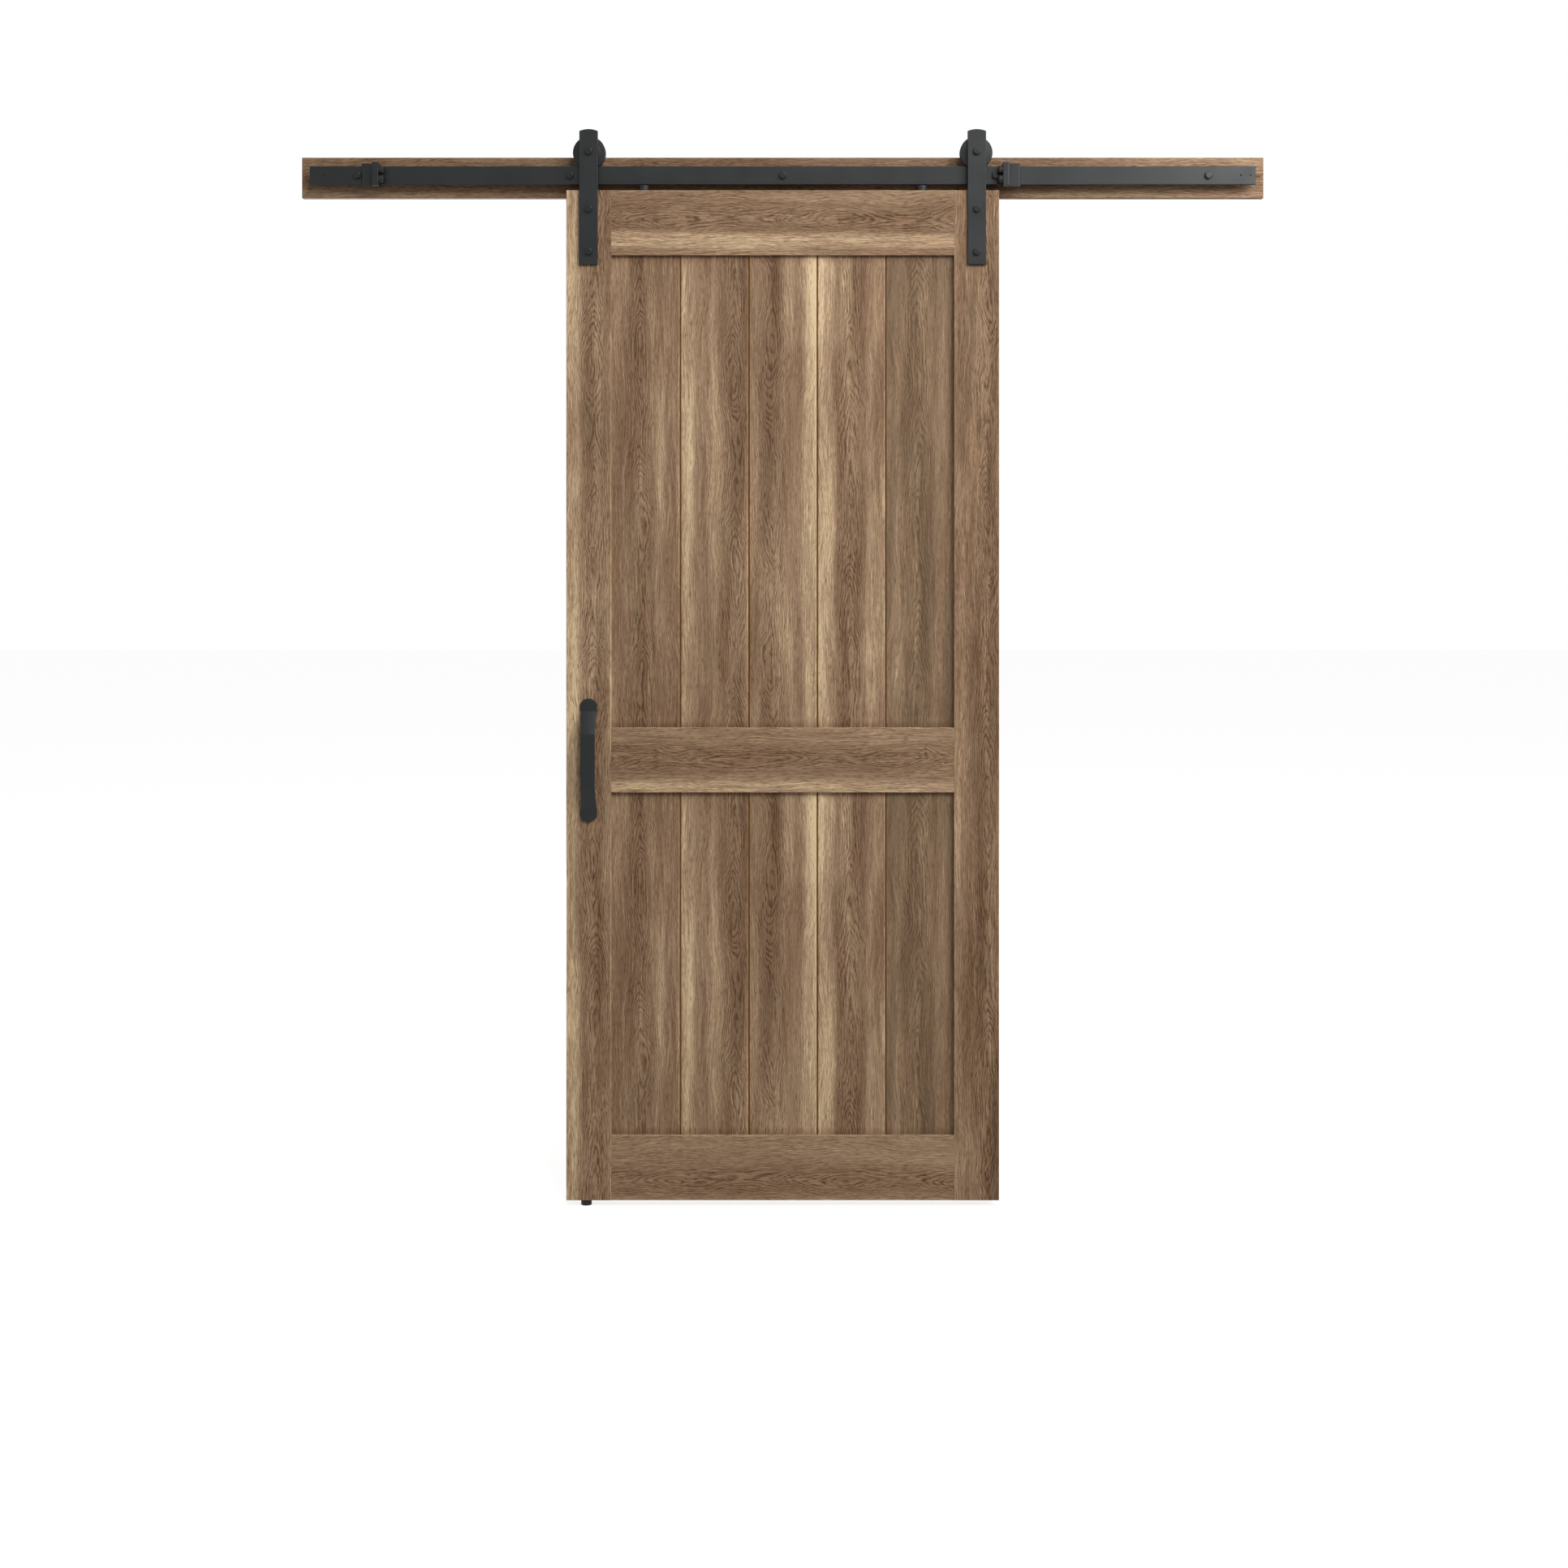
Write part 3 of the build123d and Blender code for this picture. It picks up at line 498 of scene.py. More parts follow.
    # Growth rings: each darkens slowly and ends sharply, wide and narrow years in turn
    radius = add(tree, "ShaderNodeMath", {"operation": "MULTIPLY_ADD", 1: RING_RAGGEDNESS},
                 {0: pore_noise.outputs[0], 2: radius.outputs[0]})
    years = add(tree, "ShaderNodeMath", {"operation": "MULTIPLY", 1: 1 / 15}, {0: radius.outputs[0]})
    years = add(tree, "ShaderNodeTexNoise", {"noise_dimensions": "1D", "Scale": 1.0, "Detail": 2.0},
                {"W": years.outputs[0]})
    count = add(tree, "ShaderNodeMath", {"operation": "MULTIPLY", 1: MM / settings.ring_pitch},
                {0: radius.outputs[0]})
    count = add(tree, "ShaderNodeMath", {"operation": "MULTIPLY_ADD", 1: RING_VARIATION},
                {0: years.outputs[0], 2: count.outputs[0]})
    part = add(tree, "ShaderNodeMath", {"operation": "FRACT"}, {0: count.outputs[0]})
    profile = add(tree, "ShaderNodeValToRGB", links={0: part.outputs[0]})
    steps = profile.color_ramp
    steps.interpolation = "EASE"
    steps.elements[0].color = (0, 0, 0, 1)
    steps.elements[1].color = (0, 0, 0, 1)
    for position, darkness in ((0.40, 0.05), (0.72, 1.0), (0.84, 0.9)):
        steps.elements.new(position).color = (darkness, darkness, darkness, 1)

    # The rings' dark lines are rows of pores, so the pores break them up, and they are boldest at the heart
    rows = add(tree, "ShaderNodeMapRange", {1: 0.35, 2: 0.60, 3: 0.6, 4: 1.0}, {0: pore_noise.outputs[0]})
    away = add(tree, "ShaderNodeMath", {"operation": "ABSOLUTE"}, {0: off_heart.outputs[0]})
    bold = add(tree, "ShaderNodeMapRange", {
        "interpolation_type": "SMOOTHSTEP", 1: BOLD_RINGS[0], 2: BOLD_RINGS[1], 3: 1.0, 4: 0.22,
    }, {0: away.outputs[0]})
    patchy = add(tree, "ShaderNodeMapRange", {1: 0.38, 2: 0.58, 3: 0.25, 4: 1.1},
                 {0: ripple.outputs["Color"]})
    ring = add(tree, "ShaderNodeMath", {"operation": "MULTIPLY"},
               {0: rows.outputs[0], 1: profile.outputs[0]})
    for factor in (bold, patchy):
        ring = add(tree, "ShaderNodeMath", {"operation": "MULTIPLY"},
                   {0: ring.outputs[0], 1: factor.outputs[0]})

    # Shade from dark at 0 to light at 1
    cloud_place = add(tree, "ShaderNodeVectorMath", {
        "operation": "MULTIPLY_ADD", 1: (1 / 30, 1 / 30, 1 / 420), 2: (seed, 0, 0),
    }, {0: placed.outputs[0]})
    cloud = add(tree, "ShaderNodeTexNoise", {"Scale": 1.0, "Detail": 2.0, "Roughness": 0.5},
                {"Vector": cloud_place.outputs[0]})
    core = add(tree, "ShaderNodeMapRange", {
        "interpolation_type": "SMOOTHSTEP", 1: DARK_CORE[0], 2: DARK_CORE[1], 3: 1.0, 4: 0.0,
    }, {0: away.outputs[0]})
    shade = add(tree, "ShaderNodeMath", {
        "operation": "MULTIPLY_ADD", 1: 0.90, 2: tone + 0.34 - 0.5 * cloudy,
    }, {0: fibre.outputs[0]})
    for layer, weight in ((pore_noise, -0.45), (cloud, cloudy), (ring, -0.46), (pore, -0.14), (core, -0.08)):
        shade = add(tree, "ShaderNodeMath", {"operation": "MULTIPLY_ADD", 1: weight},
                    {0: layer.outputs[0], 2: shade.outputs[0]})

    # Sapwood bands with ragged soft edges, which the fibres and the wander push in and out
    ragged = add(tree, "ShaderNodeMath", {"operation": "MULTIPLY_ADD", 1: 7.0},
                 {0: fibre.outputs[0], 2: across})
    ragged = add(tree, "ShaderNodeMath", {"operation": "MULTIPLY_ADD", 1: 16.0},
                 {0: wander_parts.outputs[1], 2: ragged.outputs[0]})
    # Painted highlights on arrises that face the lamps, painted shade on arrises that face away and in the
    # corners beside the frame, and paler board ends (painted light at the header's right end), all straight
    bands = [(ragged.outputs[0], place + 3.5, lift, half_width - softness, half_width + softness)
             for place, half_width, softness, lift in streaks]
    bands += [(across, *edge) for edge in edges] + [(along, *end) for end in ends]
    for direction, place, lift, inner, outer in bands:
        off = add(tree, "ShaderNodeMath", {"operation": "SUBTRACT", 1: place}, {0: direction})
        off = add(tree, "ShaderNodeMath", {"operation": "ABSOLUTE"}, {0: off.outputs[0]})
        band = add(tree, "ShaderNodeMapRange", {
            "interpolation_type": "SMOOTHSTEP", 1: inner, 2: outer, 3: 1.0, 4: 0.0,
        }, {0: off.outputs[0]})
        shade = add(tree, "ShaderNodeMath", {"operation": "MULTIPLY_ADD", 1: lift},
                    {0: band.outputs[0], 2: shade.outputs[0]})
    ramp = add(tree, "ShaderNodeValToRGB", links={0: shade.outputs[0]})
    stops = ramp.color_ramp.elements
    stops[0].position = 0.0
    stops[0].color = opaque(settings.dark)
    stops[1].position = 1.0
    stops[1].color = opaque(settings.palest)
    for position, colour in ((0.40, settings.middle), (0.66, settings.light), (0.90, settings.pale)):
        stops.new(position).color = opaque(colour)

    # Greyer patches, as weather and oil leave them
    hue_place = add(tree, "ShaderNodeVectorMath", {
        "operation": "MULTIPLY_ADD", 1: (1 / 26, 1 / 26, 1 / 220), 2: (seed, seed, 0),
    }, {0: placed.outputs[0]})
    hue = add(tree, "ShaderNodeTexNoise", {"Scale": 1.0, "Detail": 1.0}, {"Vector": hue_place.outputs[0]})
    grey_part = add(tree, "ShaderNodeMapRange", {1: 0.35, 2: 0.70, 3: grey, 4: 0.14 + grey},
                    {0: hue.outputs[0]})
    aged = add(tree, "ShaderNodeMix", {"data_type": "RGBA", 7: opaque(settings.grey)},
               {0: grey_part.outputs[0], 6: ramp.outputs[0]})

    # The tongues and grooves in a plank's edges are raw, oranger wood
    if raw_edges:
        inside = add(tree, "ShaderNodeMath", {"operation": "ABSOLUTE"}, {0: through})
        raw = add(tree, "ShaderNodeMapRange", {1: TONGUE[0], 2: TONGUE[1], 3: 1.0, 4: 0.0},
                  {0: inside.outputs[0]})
        aged = add(tree, "ShaderNodeMix", {"data_type": "RGBA", 7: opaque(settings.raw)},
                   {0: raw.outputs[0], 6: aged.outputs[2]})

    # Brushed-out pores and rings lie a little below the harder wood. Oil gives that a low satin, and the
    # open pores stay dull.
    relief = add(tree, "ShaderNodeMath", {"operation": "MULTIPLY_ADD", 1: 0.6},
                 {0: ring.outputs[0], 2: pore.outputs[0]})
    bump = add(tree, "ShaderNodeBump", {"invert": True, "Strength": 0.6, "Distance": 0.3 * MM},
               {"Height": relief.outputs[0]})
    rough = add(tree, "ShaderNodeMapRange", {1: 0.0, 2: 1.0, 3: 0.60, 4: 0.80}, {0: pore.outputs[0]})
    surface = add(tree, "ShaderNodeBsdfPrincipled", {"IOR": 1.5, "Specular IOR Level": 0.2},
                  {"Base Color": aged.outputs[2], "Roughness": rough.outputs[0], "Normal": bump.outputs[0]})
    tree.links.new(surface.outputs[0], output.inputs[0])
    dress(material, board)


def coated(name, colour, roughness, grain, strength, metallic=0.0):
    """A surface with fine bumps of one grain size, whose colour and gloss shift a little every 60 mm."""
    material, tree, output = new_material(name)
    coords = add(tree, "ShaderNodeTexCoord")
    placed = add(tree, "ShaderNodeMapping", {"Scale": (1 / grain, 1 / grain, 1 / grain)},
                 {"Vector": coords.outputs["Object"]})
    peel = add(tree, "ShaderNodeTexNoise", {"Scale": 1.0, "Detail": 2.0, "Roughness": 0.6},
               {"Vector": placed.outputs[0]})
    cloud_place = add(tree, "ShaderNodeMapping", {"Scale": (1 / 0.06, 1 / 0.06, 1 / 0.06)},
                      {"Vector": coords.outputs["Object"]})
    cloud = add(tree, "ShaderNodeTexNoise", {"Scale": 1.0, "Detail": 3.0},
                {"Vector": cloud_place.outputs[0]})
    tint = add(tree, "ShaderNodeMix", {
        "data_type": "RGBA", 6: opaque([c * 0.8 for c in colour]), 7: opaque([c * 1.2 for c in colour]),
    }, {0: cloud.outputs[0]})
    rough = add(tree, "ShaderNodeMapRange", {1: 0.3, 2: 0.7, 3: roughness - 0.06, 4: roughness + 0.06},
                {0: cloud.outputs[0]})
    bump = add(tree, "ShaderNodeBump", {"Strength": strength, "Distance": 0.05 * MM},
               {"Height": peel.outputs[0]})
    surface = add(tree, "ShaderNodeBsdfPrincipled", {"Metallic": metallic, "Specular IOR Level": 0.3},
                  {"Base Color": tint.outputs[2], "Roughness": rough.outputs[0], "Normal": bump.outputs[0]})
    tree.links.new(surface.outputs[0], output.inputs[0])
    return material


def powder_coat():
    """The black powder coat, made once.

    Powder baked on steel is a thick satin skin: near black, with broad soft highlights and fine orange peel.
    """
    name = "steel with black powder coat"
    settings = bpy.context.scene.door_iron
    return bpy.data.materials.get(name) or coated(name, settings.coat, 0.37, settings.grain, 0.2)


class DOOR_OT_header_board(bpy.types.Operator):
    """Finish the header board in level-grained oak"""

    bl_idname = "door.header_board"
    bl_label = "Header board"

    def execute(self, context):
        # Both ends are painted paler; at the right end that is painted light, standing in for a lamp's pool
        # of light there
        oak("oak board planed and oiled header", "header_board", level=True, heart=6, slope=0.05, swell=7,
            swell_length=420, swell_at=120, seed=5.3,
            ends=((-1010, 0.20, 60, 520), (1010, 0.15, 60, 700)), tone=-0.17, cloudy=0.6)
        return {"FINISHED"}


class DOOR_OT_leaf_frame(bpy.types.Operator):
    """Finish the stiles and cross rails in oak"""

    bl_idname = "door.leaf_frame"
    bl_label = "Leaf frame"

    def execute(self, context):
        # Painted highlights along both long arrises of each stile and rail, lighter on one side than the
        # other
        stile_arris_highlights = ((-47.5, 0.10, 1.0, 2.4), (47.5, 0.16, 1.0, 2.4))
        rail_arris_highlights = ((-68.5, 0.16, 1.0, 2.4), (68.5, 0.10, 1.0, 2.4))
        oak("oak planed and oiled left stile", "stile_left", heart=12, slope=0.05, swell=7,
            swell_length=350, swell_at=540, seed=1.1, streaks=((-36, 16, 10, 0.22),), edges=stile_arris_highlights,
            tone=0.03)
        oak("oak planed and oiled right stile", "stile_right", heart=24, slope=0.03, swell=9,
            swell_length=578, swell_at=-527, seed=7.9, edges=stile_arris_highlights, tone=-0.10)
        oak("oak planed and oiled top rail", "top_rail", level=True, heart=8, slope=0.06, swell=7,
            swell_length=330, swell_at=40, seed=2.4, streaks=((-37, 17, 7, 0.22),), edges=rail_arris_highlights,
            tone=-0.07, cloudy=0.5)
        oak("oak planed and oiled middle rail", "middle_rail", level=True, heart=2, slope=-0.04, swell=8,
            swell_length=360, swell_at=-90, seed=4.7, streaks=((-56, 12, 9, 0.20),), edges=rail_arris_highlights,
            tone=-0.03, cloudy=0.25)
        oak("oak planed and oiled bottom rail", "bottom_rail", level=True, heart=-27, slope=0.06, swell=6,
            swell_length=340, swell_at=60, seed=9.2, edges=rail_arris_highlights, tone=0.0, cloudy=0.3)
        return {"FINISHED"}


class DOOR_OT_panel_boards(bpy.types.Operator):
    """Finish the planks of both panels, the lower ones cut from the same boards as the upper ones"""

    bl_idname = "door.panel_boards"
    bl_label = "Panel planks"

    def execute(self, context):
        figures = (
            {"heart": -10, "slope": 0.06, "swell": 8, "swell_length": 360, "swell_at": 140, "seed": 0.4,
             "tone": -0.05},
            {"heart": 38, "slope": 0.02, "swell": 9, "swell_length": 420, "swell_at": 70, "seed": 3.3,
             "streaks": ((-62, 18, 11, 0.15),), "tone": -0.01},
            {"heart": -26, "slope": -0.06, "swell": 7, "swell_length": 330, "swell_at": 120, "seed": 6.1,
             "streaks": ((60, 21, 9, 0.27),)},
            {"heart": -6, "slope": 0.08, "swell": 6, "swell_length": 450, "swell_at": -60, "seed": 8.8,
             "streaks": ((-58, 20, 9, 0.23),)},
            {"heart": -9, "slope": 0.08, "swell": 6, "swell_length": 380, "swell_at": 180, "seed": 11.7,
             "tone": -0.15, "grey": 0.14},
        )
        tongue_reach = 8.5
        upper_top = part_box("upper_plank_1")[1].z - board_box("upper_plank_1")[0].z
        lower_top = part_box("lower_plank_1")[1].z - board_box("lower_plank_1")[0].z
        frame_of = {"upper": ("top_rail", "middle_rail"), "lower": ("middle_rail", "bottom_rail")}
        for panel, slide in (("upper", 0.0), ("lower", (upper_top - lower_top) / MM)):
            for number, figure in enumerate(figures, 1):
                board = f"{panel}_plank_{number}"
                half = board_box(board)[1].x / MM / 2
                # Painted highlight on each plank's right arris, which faces the lamps; the last plank, whose
                # right edge is housed, gets painted shade instead beside the right stile, where that stile's
                # shadow and shade fall
                if number < len(figures):
                    edges = ((half - tongue_reach, 0.20, 1.0, 2.4),)
                else:
                    edges = ((in_view(board, "stile_right"), -0.16, 2.0, 24.0),)
                # Painted shade on the left arris beside each joint, which faces away from the lamps
                edges += ((-half, -0.6, 1.0, 2.4),) if number > 1 else ()
                # Painted shade at both ends of each plank, in the recessed corners under and above the rails
                ends = [(in_view(board, rail) + slide, -0.12, 2.0, 20.0) for rail in frame_of[panel]]
                oak(f"oak planed and oiled {panel} plank {number}", board, slide=slide, edges=edges,
                    ends=ends, raw_edges=True, **figure)
        return {"FINISHED"}


class DOOR_OT_rail(bpy.types.Operator):
    """Finish the rail and its spacers"""

    bl_idname = "door.rail"
    bl_label = "Rail and spacers"

    def execute(self, context):
        spacers = [name for name in NODES if name.startswith("rail_spacer")]
        dress(powder_coat(), "rail", *spacers)
        return {"FINISHED"}


class DOOR_OT_hangers(bpy.types.Operator):
    """Build the two straps from flat bar with eased edges and a shallow arched top, and finish the bushes"""

    bl_idname = "door.hangers"
    bl_label = "Hanger straps"

    def execute(self, context):
        coat = powder_coat()
        arch_rise, corner_radius, arch_point_radius = 4.0, 1.2, 0.05
        roll_front, roll_back = 0.9, 0.4
        for side in SIDES:
            node = f"strap_{side}"
            low, high = box_mm(node)
            middle = (low[0] + high[0]) / 2
            half = (high[0] - low[0]) / 2
            # The arch is part of a circle of radius (half width squared + rise squared) / (2 * rise)
            arch = (half ** 2 + arch_rise ** 2) / (2 * arch_rise)
            turn = np.linspace(1, -1, 25) * math.asin(half / arch)
            top = np.stack([arch * np.sin(turn), high[2] - arch + arch * np.cos(turn)], -1)
            corners = np.concatenate([[[-half, low[2]], [half, low[2]]], top])
            radii = np.full(len(corners), arch_point_radius)
            radii[[0, 1, 2, -1]] = corner_radius
            outline = rounded(corners, radii, 5) + [middle, 0]
            strap = plate(outline, low[1], high[1], roll_front, roll_back)
            piece(f"hanger_strap_{side}", [strap], coat, "door", "black_steel", node)
        dress(coat, *(f"axle_bush_{side}" for side in SIDES))
        return {"FINISHED"}


class DOOR_OT_wheels(bpy.types.Operator):
    """Build the two grooved wheels with rounded flanges and bosses, and finish their bearings"""

    bl_idname = "door.wheels"
    bl_label = "Wheels and bearings"

    def execute(self, context):
        settings = context.scene.door_iron
        # The same powder coat at four tenths of its colour: painted shade, as the wheels stand in the straps'
        # shade
        coat = coated("steel wheels with black powder coat", [value * 0.4 for value in settings.coat], 0.36,
                      settings.grain, 0.15)
        tread, flange, boss, pocket, bore = 27.5, 34.5, 22.5, 11.12, 9.0
        boss_half, flange_half, flange_inside, tread_half, pocket_floor = 11.0, 9.0, 6.4, 3.8, -3.6
        # (radius, y) round the section, each with the radius of its corner
        section = np.array((
            (bore, -boss_half, 0.3), (boss, -boss_half, 0.8), (boss, -flange_half, 0.7),
            (flange, -flange_half, 1.0), (flange, -flange_inside, 0.9), (tread, -tread_half, 0.8),
            (tread, tread_half, 0.8), (flange, flange_inside, 0.9), (flange, flange_half, 1.0),
            (boss, flange_half, 0.7), (boss, boss_half, 0.8), (pocket, boss_half, 0.4),
            (pocket, pocket_floor, 0.1), (bore, pocket_floor, 0.1),
        ))
        profile = rounded(section[:, :2], section[:, 2], 6)
        for side in SIDES:
            node = f"wheel_{side}"
            middle = np.array(board_box(node)[0]) / MM
            wheel = turned(profile, middle, 160, closed=True)
            piece(f"grooved_wheel_{side}", [wheel], coat, node, "black_steel", node)
        # Ground bearing steel has no coat: bright, smooth and metallic
        ground = coated("steel ground bearing races", linear("#9A9A98"), 0.28, 0.9 * MM, 0.05, metallic=1.0)
        dress(ground, *(f"wheel_bearing_{side}" for side in SIDES))
        return {"FINISHED"}


class DOOR_OT_fasteners(bpy.types.Operator):
    """Build the hexagon bolts and nuts, and finish the washers and screws"""

    bl_idname = "door.fasteners"
    bl_label = "Bolts, nuts and screws"

    def execute(self, context):
        settings = context.scene.door_iron
        # Black oxide on forged steel is thin and dark, glossier than paint, so that corners catch the light
        black = coated("steel black oxide bolts", settings.fastener, 0.30, settings.grain, 0.12)
        lag_point, lag_tip_radius, bolt_point, bolt_tip_radius = 4.0, 1.0, 0.8, 3.95

        low, high = box_mm("rail_bolts")
        seat = low[1] + HEAD_HEIGHT
        parts = [bolt((x, seat, z), high[1] - seat, lag_point, lag_tip_radius)
                 for x, _, z in head_centres("rail_bolts", 5)]
        piece("rail_lag_bolts", parts, black, "track", "black_fastener", "rail_bolts")
        for side in SIDES:
            for node, count, nuts in ((f"strap_bolts_{side}", 2, f"strap_nuts_{side}"),
                                      (f"axle_bolt_{side}", 1, f"axle_nut_{side}")):
                low, high = box_mm(node)
                seat = low[1] + HEAD_HEIGHT
                spots = head_centres(node, count)
                parts = [bolt((x, seat, z), high[1] - seat, bolt_point, bolt_tip_radius) for x, _, z in spots]
                piece(f"hexagon_{node}", parts, black, "door", "black_fastener", node)
                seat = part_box(nuts)[0].y / MM
                parts = [nut((x, seat, z)) for x, _, z in spots]
                piece(f"hexagon_{nuts}", parts, black, "door", "black_fastener", nuts)
        rest = [f"{kind}_{side}" for kind in ("strap_washers", "axle_washer", "stop_set_screws")
                for side in SIDES]
        dress(black, "anti_jump_screws", "handle_screws", *rest)
        return {"FINISHED"}


class DOOR_OT_end_stops(bpy.types.Operator):
    """Finish the two end stops and their rubber bumpers"""

    bl_idname = "door.end_stops"
    bl_label = "End stops and bumpers"

    def execute(self, context):
        settings = context.scene.door_iron
        dress(powder_coat(), *(f"stop_{side}" for side in SIDES))
        # Moulded rubber is matt black with a dull broad sheen
        rubber = coated("rubber moulded black", linear("#161616"), 0.6, settings.grain, 0.3)
        dress(rubber, *(f"stop_bumpers_{side}" for side in SIDES))
        return {"FINISHED"}


class DOOR_OT_handle(bpy.types.Operator):
    """Build the pull: flat bar with round pads, bent out to a straight grip"""

    bl_idname = "door.handle"
    bl_label = "Handle"

    def execute(self, context):
        low, high = box_mm("handle")
        half = (high[2] - low[2]) / 2
        thick, pad, pad_bend, grip, bend, bend_steps = 5.0, 19.0, half - 27.5, 57.0, 6.0, 10
        grip_half_width, leg_half_width, edge_ease = 15.0, 16.0, 0.9
        near, far = -thick / 2, thick / 2 - (high[1] - low[1])
        # Middle line of the bar in (y, z) from the lower pad's end to the upper one's. The four bends are
        # rounded, and the last corner only closes the line behind the bar.
        corners = (
            (near, -half), (near, -pad_bend), (far, -grip), (far, grip), (near, pad_bend), (near, half),
            (near + half, 0),
        )
        bends = rounded(corners, bend, bend_steps)[bend_steps:5 * bend_steps]
        line = np.concatenate([[(near, -half)], bends, [(near, half)]])
        run = np.concatenate([[0], np.cumsum(np.linalg.norm(np.diff(line, axis=0), axis=1))])
        # Cross-sections at every bend, close together on the pads' round ends, and evenly between
        rim = half - pad + pad * np.sin(np.linspace(0.2, 1.0, 24) * np.pi / 2)
        between = np.linspace(30, run[-1] - 30, 80)
        stops = np.concatenate([run[1:-1], half - rim, run[-1] - half + rim, between])
        stops = np.unique(stops.round(3))
        spine = np.stack([np.interp(stops, run, line[:, 0]), np.interp(stops, run, line[:, 1])], -1)
        along = np.gradient(spine, stops, axis=0)
        along /= np.linalg.norm(along, axis=1, keepdims=True)
        # Half width: a circle at each pad, tapering legs, and a straight grip
        height = np.abs(spine[:, 1])
        disc = np.sqrt(np.clip(pad ** 2 - (height - (half - pad)) ** 2, 0.04, None))
        leg = np.interp(height, (grip, pad_bend), (grip_half_width, leg_half_width))
        beside_disc = np.maximum(leg, np.where(height > half - 2 * pad, disc, 0))
        width = np.where(height > pad_bend, disc, beside_disc)
        # Cross-section: a rounded rectangle, width by thickness
        ease = np.minimum(edge_ease, width * 0.9)[:, None]
        turn = (np.arange(4)[:, None] * 90 + np.linspace(0, 90, 5)[None]).ravel() * np.pi / 180
        quarter = np.repeat(np.arange(4), 5)
        sign_x, sign_t = np.array([1, -1, -1, 1])[quarter], np.array([1, 1, -1, -1])[quarter]
        across = sign_x * (width[:, None] - ease) + ease * np.cos(turn)
        out = sign_t * (thick / 2 - ease) + ease * np.sin(turn)
        rings = np.stack([
            (low[0] + high[0]) / 2 + across, high[1] + spine[:, :1] + out * along[:, 1:],
            (low[2] + high[2]) / 2 + spine[:, 1:] - out * along[:, :1],
        ], -1)
        settings = context.scene.door_iron
        # The same powder coat, darker and a little duller where hands hold it
        coat = coated("steel pull with black powder coat", [value * 0.7 for value in settings.coat], 0.40,
                      settings.grain, 0.2)
        piece("pull_handle", [skin(rings, closed=False)], coat, "door", "black_steel", "handle")
        return {"FINISHED"}


class DOOR_OT_guides(bpy.types.Operator):
    """Finish the nylon anti-jump discs and the floor guide"""

    bl_idname = "door.guides"
    bl_label = "Anti-jump discs and floor guide"

    def execute(self, context):
        settings = context.scene.door_iron
        # Turned nylon is black all through, with a soft waxy sheen
        nylon = coated("nylon turned black", linear("#141515"), 0.5, settings.grain, 0.2)
        dress(nylon, "anti_jump_disc_left", "anti_jump_disc_right", "floor_guide")
        return {"FINISHED"}


def seen_directly(tree):
    """A socket that is 1 where the camera, a reflection or glass sees the surface, and 0 elsewhere."""
    path = add(tree, "ShaderNodeLightPath")
    seen = add(tree, "ShaderNodeMath", {"operation": "MAXIMUM"},
               {0: path.outputs["Is Camera Ray"], 1: path.outputs["Is Glossy Ray"]})
    seen = add(tree, "ShaderNodeMath", {"operation": "MAXIMUM"},
               {0: seen.outputs[0], 1: path.outputs["Is Transmission Ray"]})
    return seen.outputs[0]


def lamp(name, place, aim, size, power):
    """A square soft lamp at a place, turned to what it aims at, all in metres."""
    light = bpy.data.lights.new(name, "AREA")
    light.shape = "SQUARE"
    light.size = size
    light.energy = power
    holder = bpy.data.objects.new(name, light)
    holder.location = place
    holder.rotation_euler = (Vector(aim) - Vector(place)).to_track_quat("-Z", "Y").to_euler()
    bpy.context.scene.collection.objects.link(holder)


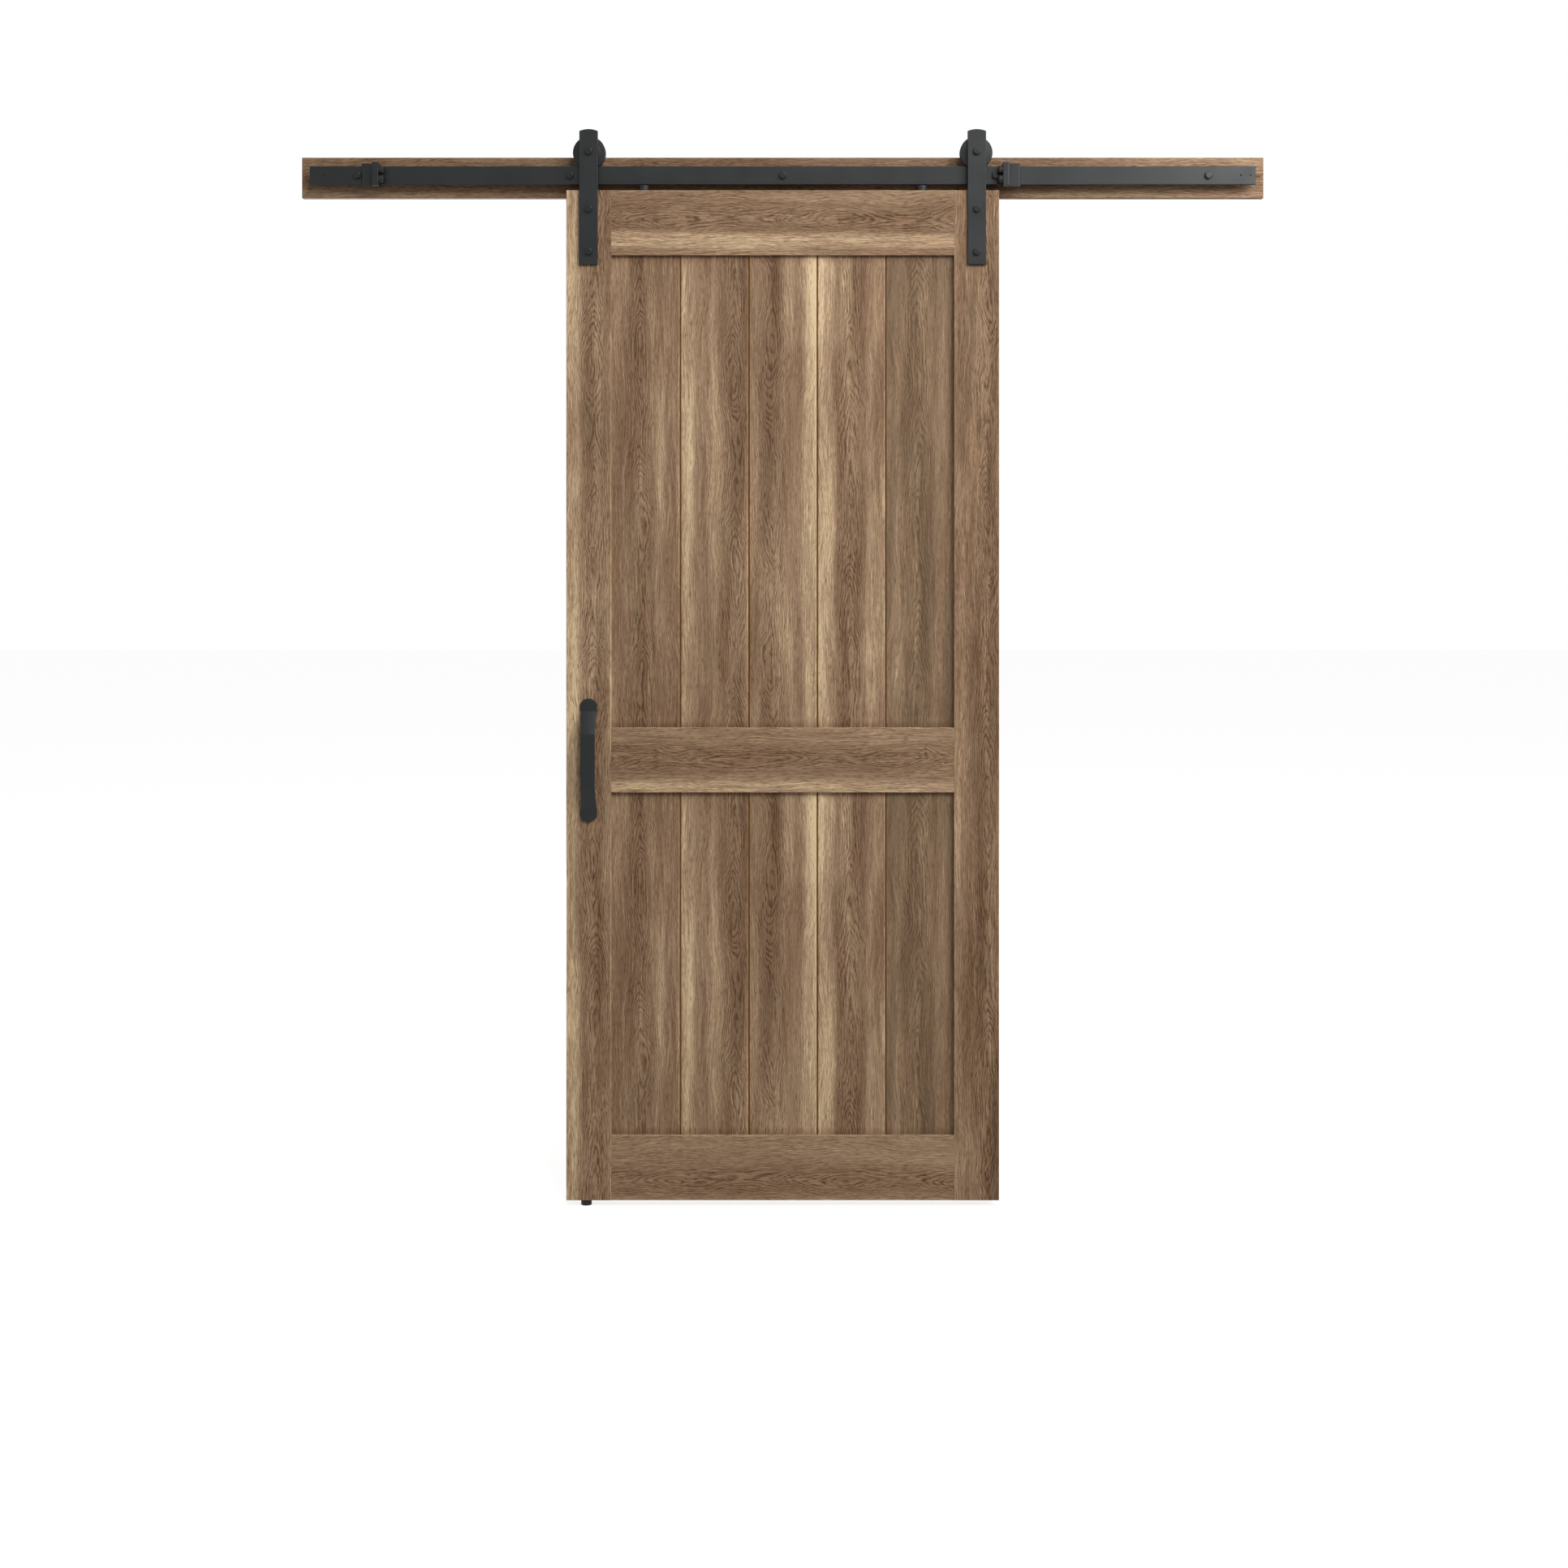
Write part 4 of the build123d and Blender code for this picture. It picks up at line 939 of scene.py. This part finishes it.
class DOOR_OT_stage(bpy.types.Operator):
    """Set the camera, lamps, floor and white surroundings"""

    bl_idname = "door.stage"
    bl_label = "Stage"

    def execute(self, context):
        settings = context.scene.door_stage
        scene = context.scene
        floor_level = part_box("floor_guide")[0].z
        leaf_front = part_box("stile_left")[0].y

        photo_width = 1932
        horizon_row = 695
        object_middle_column = 964.4
        camera = bpy.data.cameras.new("camera")
        camera.lens = settings.lens
        camera.sensor_width = 36
        camera.shift_y = (horizon_row - photo_width / 2) / photo_width
        metres_per_pixel = settings.camera_distance * camera.sensor_width / settings.lens / photo_width
        viewer = bpy.data.objects.new("camera", camera)
        viewer.location = (
            (photo_width / 2 - object_middle_column) * metres_per_pixel,
            leaf_front - settings.camera_distance, floor_level + settings.camera_height,
        )
        viewer.rotation_euler = (math.radians(90), 0, 0)
        scene.collection.objects.link(viewer)
        scene.camera = viewer

        leaf_middle = (0, 0, -0.9)
        lamp("key lamp", (4.4, -4.6, 3.6), leaf_middle, 3.0, settings.key_power)
        lamp("front lamp", (1.0, -4.2, 2.4), leaf_middle, 1.4, settings.front_power)
        lamp("side lamp", (1.5, -1.7, 0.45), (0.8, 0, 0), 0.6, settings.side_power)
        lamp("rim lamp", (2.8, -1.0, 0.5), (0.5, 0, 0), 0.6, settings.rim_power)
        lamp("back lamp", (-1.6, 5.0, -0.6), leaf_middle, 2.0, settings.back_power)

        # Matt white paper with a fine tooth. It stays white to the camera and in reflections, and keeps the
        # shadow.
        material, tree, output = new_material("paper sweep matt white")
        coords = add(tree, "ShaderNodeTexCoord")
        placed = add(tree, "ShaderNodeMapping", {"Scale": (1 / 0.004, 1 / 0.004, 1 / 0.004)},
                     {"Vector": coords.outputs["Object"]})
        tooth = add(tree, "ShaderNodeTexNoise", {"Scale": 1.0, "Detail": 2.0},
                    {"Vector": placed.outputs[0]})
        bump = add(tree, "ShaderNodeBump", {"Strength": 0.05, "Distance": 0.1 * MM},
                   {"Height": tooth.outputs[0]})
        paper = add(tree, "ShaderNodeBsdfDiffuse", {"Color": opaque([settings.paper_shade] * 3)},
                    {"Normal": bump.outputs[0]})
        lift = add(tree, "ShaderNodeMath", {"operation": "MULTIPLY", 1: settings.paper_glow},
                   {0: seen_directly(tree)})
        glow = add(tree, "ShaderNodeEmission", links={"Strength": lift.outputs[0]})
        both = add(tree, "ShaderNodeAddShader", links={0: paper.outputs[0], 1: glow.outputs[0]})
        tree.links.new(both.outputs[0], output.inputs[0])
        half = 30.0
        corners = [
            (-half, -half, floor_level), (half, -half, floor_level), (half, half, floor_level),
            (-half, half, floor_level),
        ]
        mesh = bpy.data.meshes.new("floor")
        mesh.from_pydata(corners, [], [(0, 1, 2, 3)])
        mesh.materials.append(material)
        floor = bpy.data.objects.new("floor", mesh)
        scene.collection.objects.link(floor)

        world = bpy.data.worlds.new("white studio")
        world.use_nodes = True
        tree = world.node_tree
        tree.nodes.clear()
        around = add(tree, "ShaderNodeMapRange", {1: 0.0, 2: 1.0, 3: settings.fill, 4: 1.0},
                     {0: seen_directly(tree)})
        back = add(tree, "ShaderNodeBackground", {"Color": (1, 1, 1, 1)}, {"Strength": around.outputs[0]})
        end = add(tree, "ShaderNodeOutputWorld")
        tree.links.new(back.outputs[0], end.inputs[0])
        scene.world = world
        scene.view_settings.view_transform = "Standard"
        return {"FINISHED"}


OPERATORS = (
    DOOR_OT_header_board, DOOR_OT_leaf_frame, DOOR_OT_panel_boards, DOOR_OT_rail, DOOR_OT_hangers,
    DOOR_OT_wheels, DOOR_OT_fasteners, DOOR_OT_end_stops, DOOR_OT_handle, DOOR_OT_guides, DOOR_OT_stage,
)


class DOOR_PT_panel(bpy.types.Panel):
    """Lists the door's pieces in the sidebar"""

    bl_idname = "DOOR_PT_panel"
    bl_label = "Plank door"
    bl_space_type = "VIEW_3D"
    bl_region_type = "UI"
    bl_category = "Plank Door"

    def draw(self, context):
        for operator in OPERATORS:
            self.layout.operator(operator.bl_idname)


SETTINGS = {"door_oak": OakSettings, "door_iron": IronSettings, "door_stage": StageSettings}


def register():
    """Registers the settings, operators and panel."""
    for cls in (*SETTINGS.values(), *OPERATORS, DOOR_PT_panel):
        bpy.utils.register_class(cls)
    for name, cls in SETTINGS.items():
        setattr(bpy.types.Scene, name, PointerProperty(type=cls))


def unregister():
    """Removes what register added."""
    for name in SETTINGS:
        delattr(bpy.types.Scene, name)
    for cls in (DOOR_PT_panel, *reversed(OPERATORS), *SETTINGS.values()):
        bpy.utils.unregister_class(cls)


def main():
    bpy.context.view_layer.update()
    register()
    for operator in OPERATORS:
        family, name = operator.bl_idname.split(".")
        getattr(getattr(bpy.ops, family), name)()


if __name__ == "__main__":
    main()
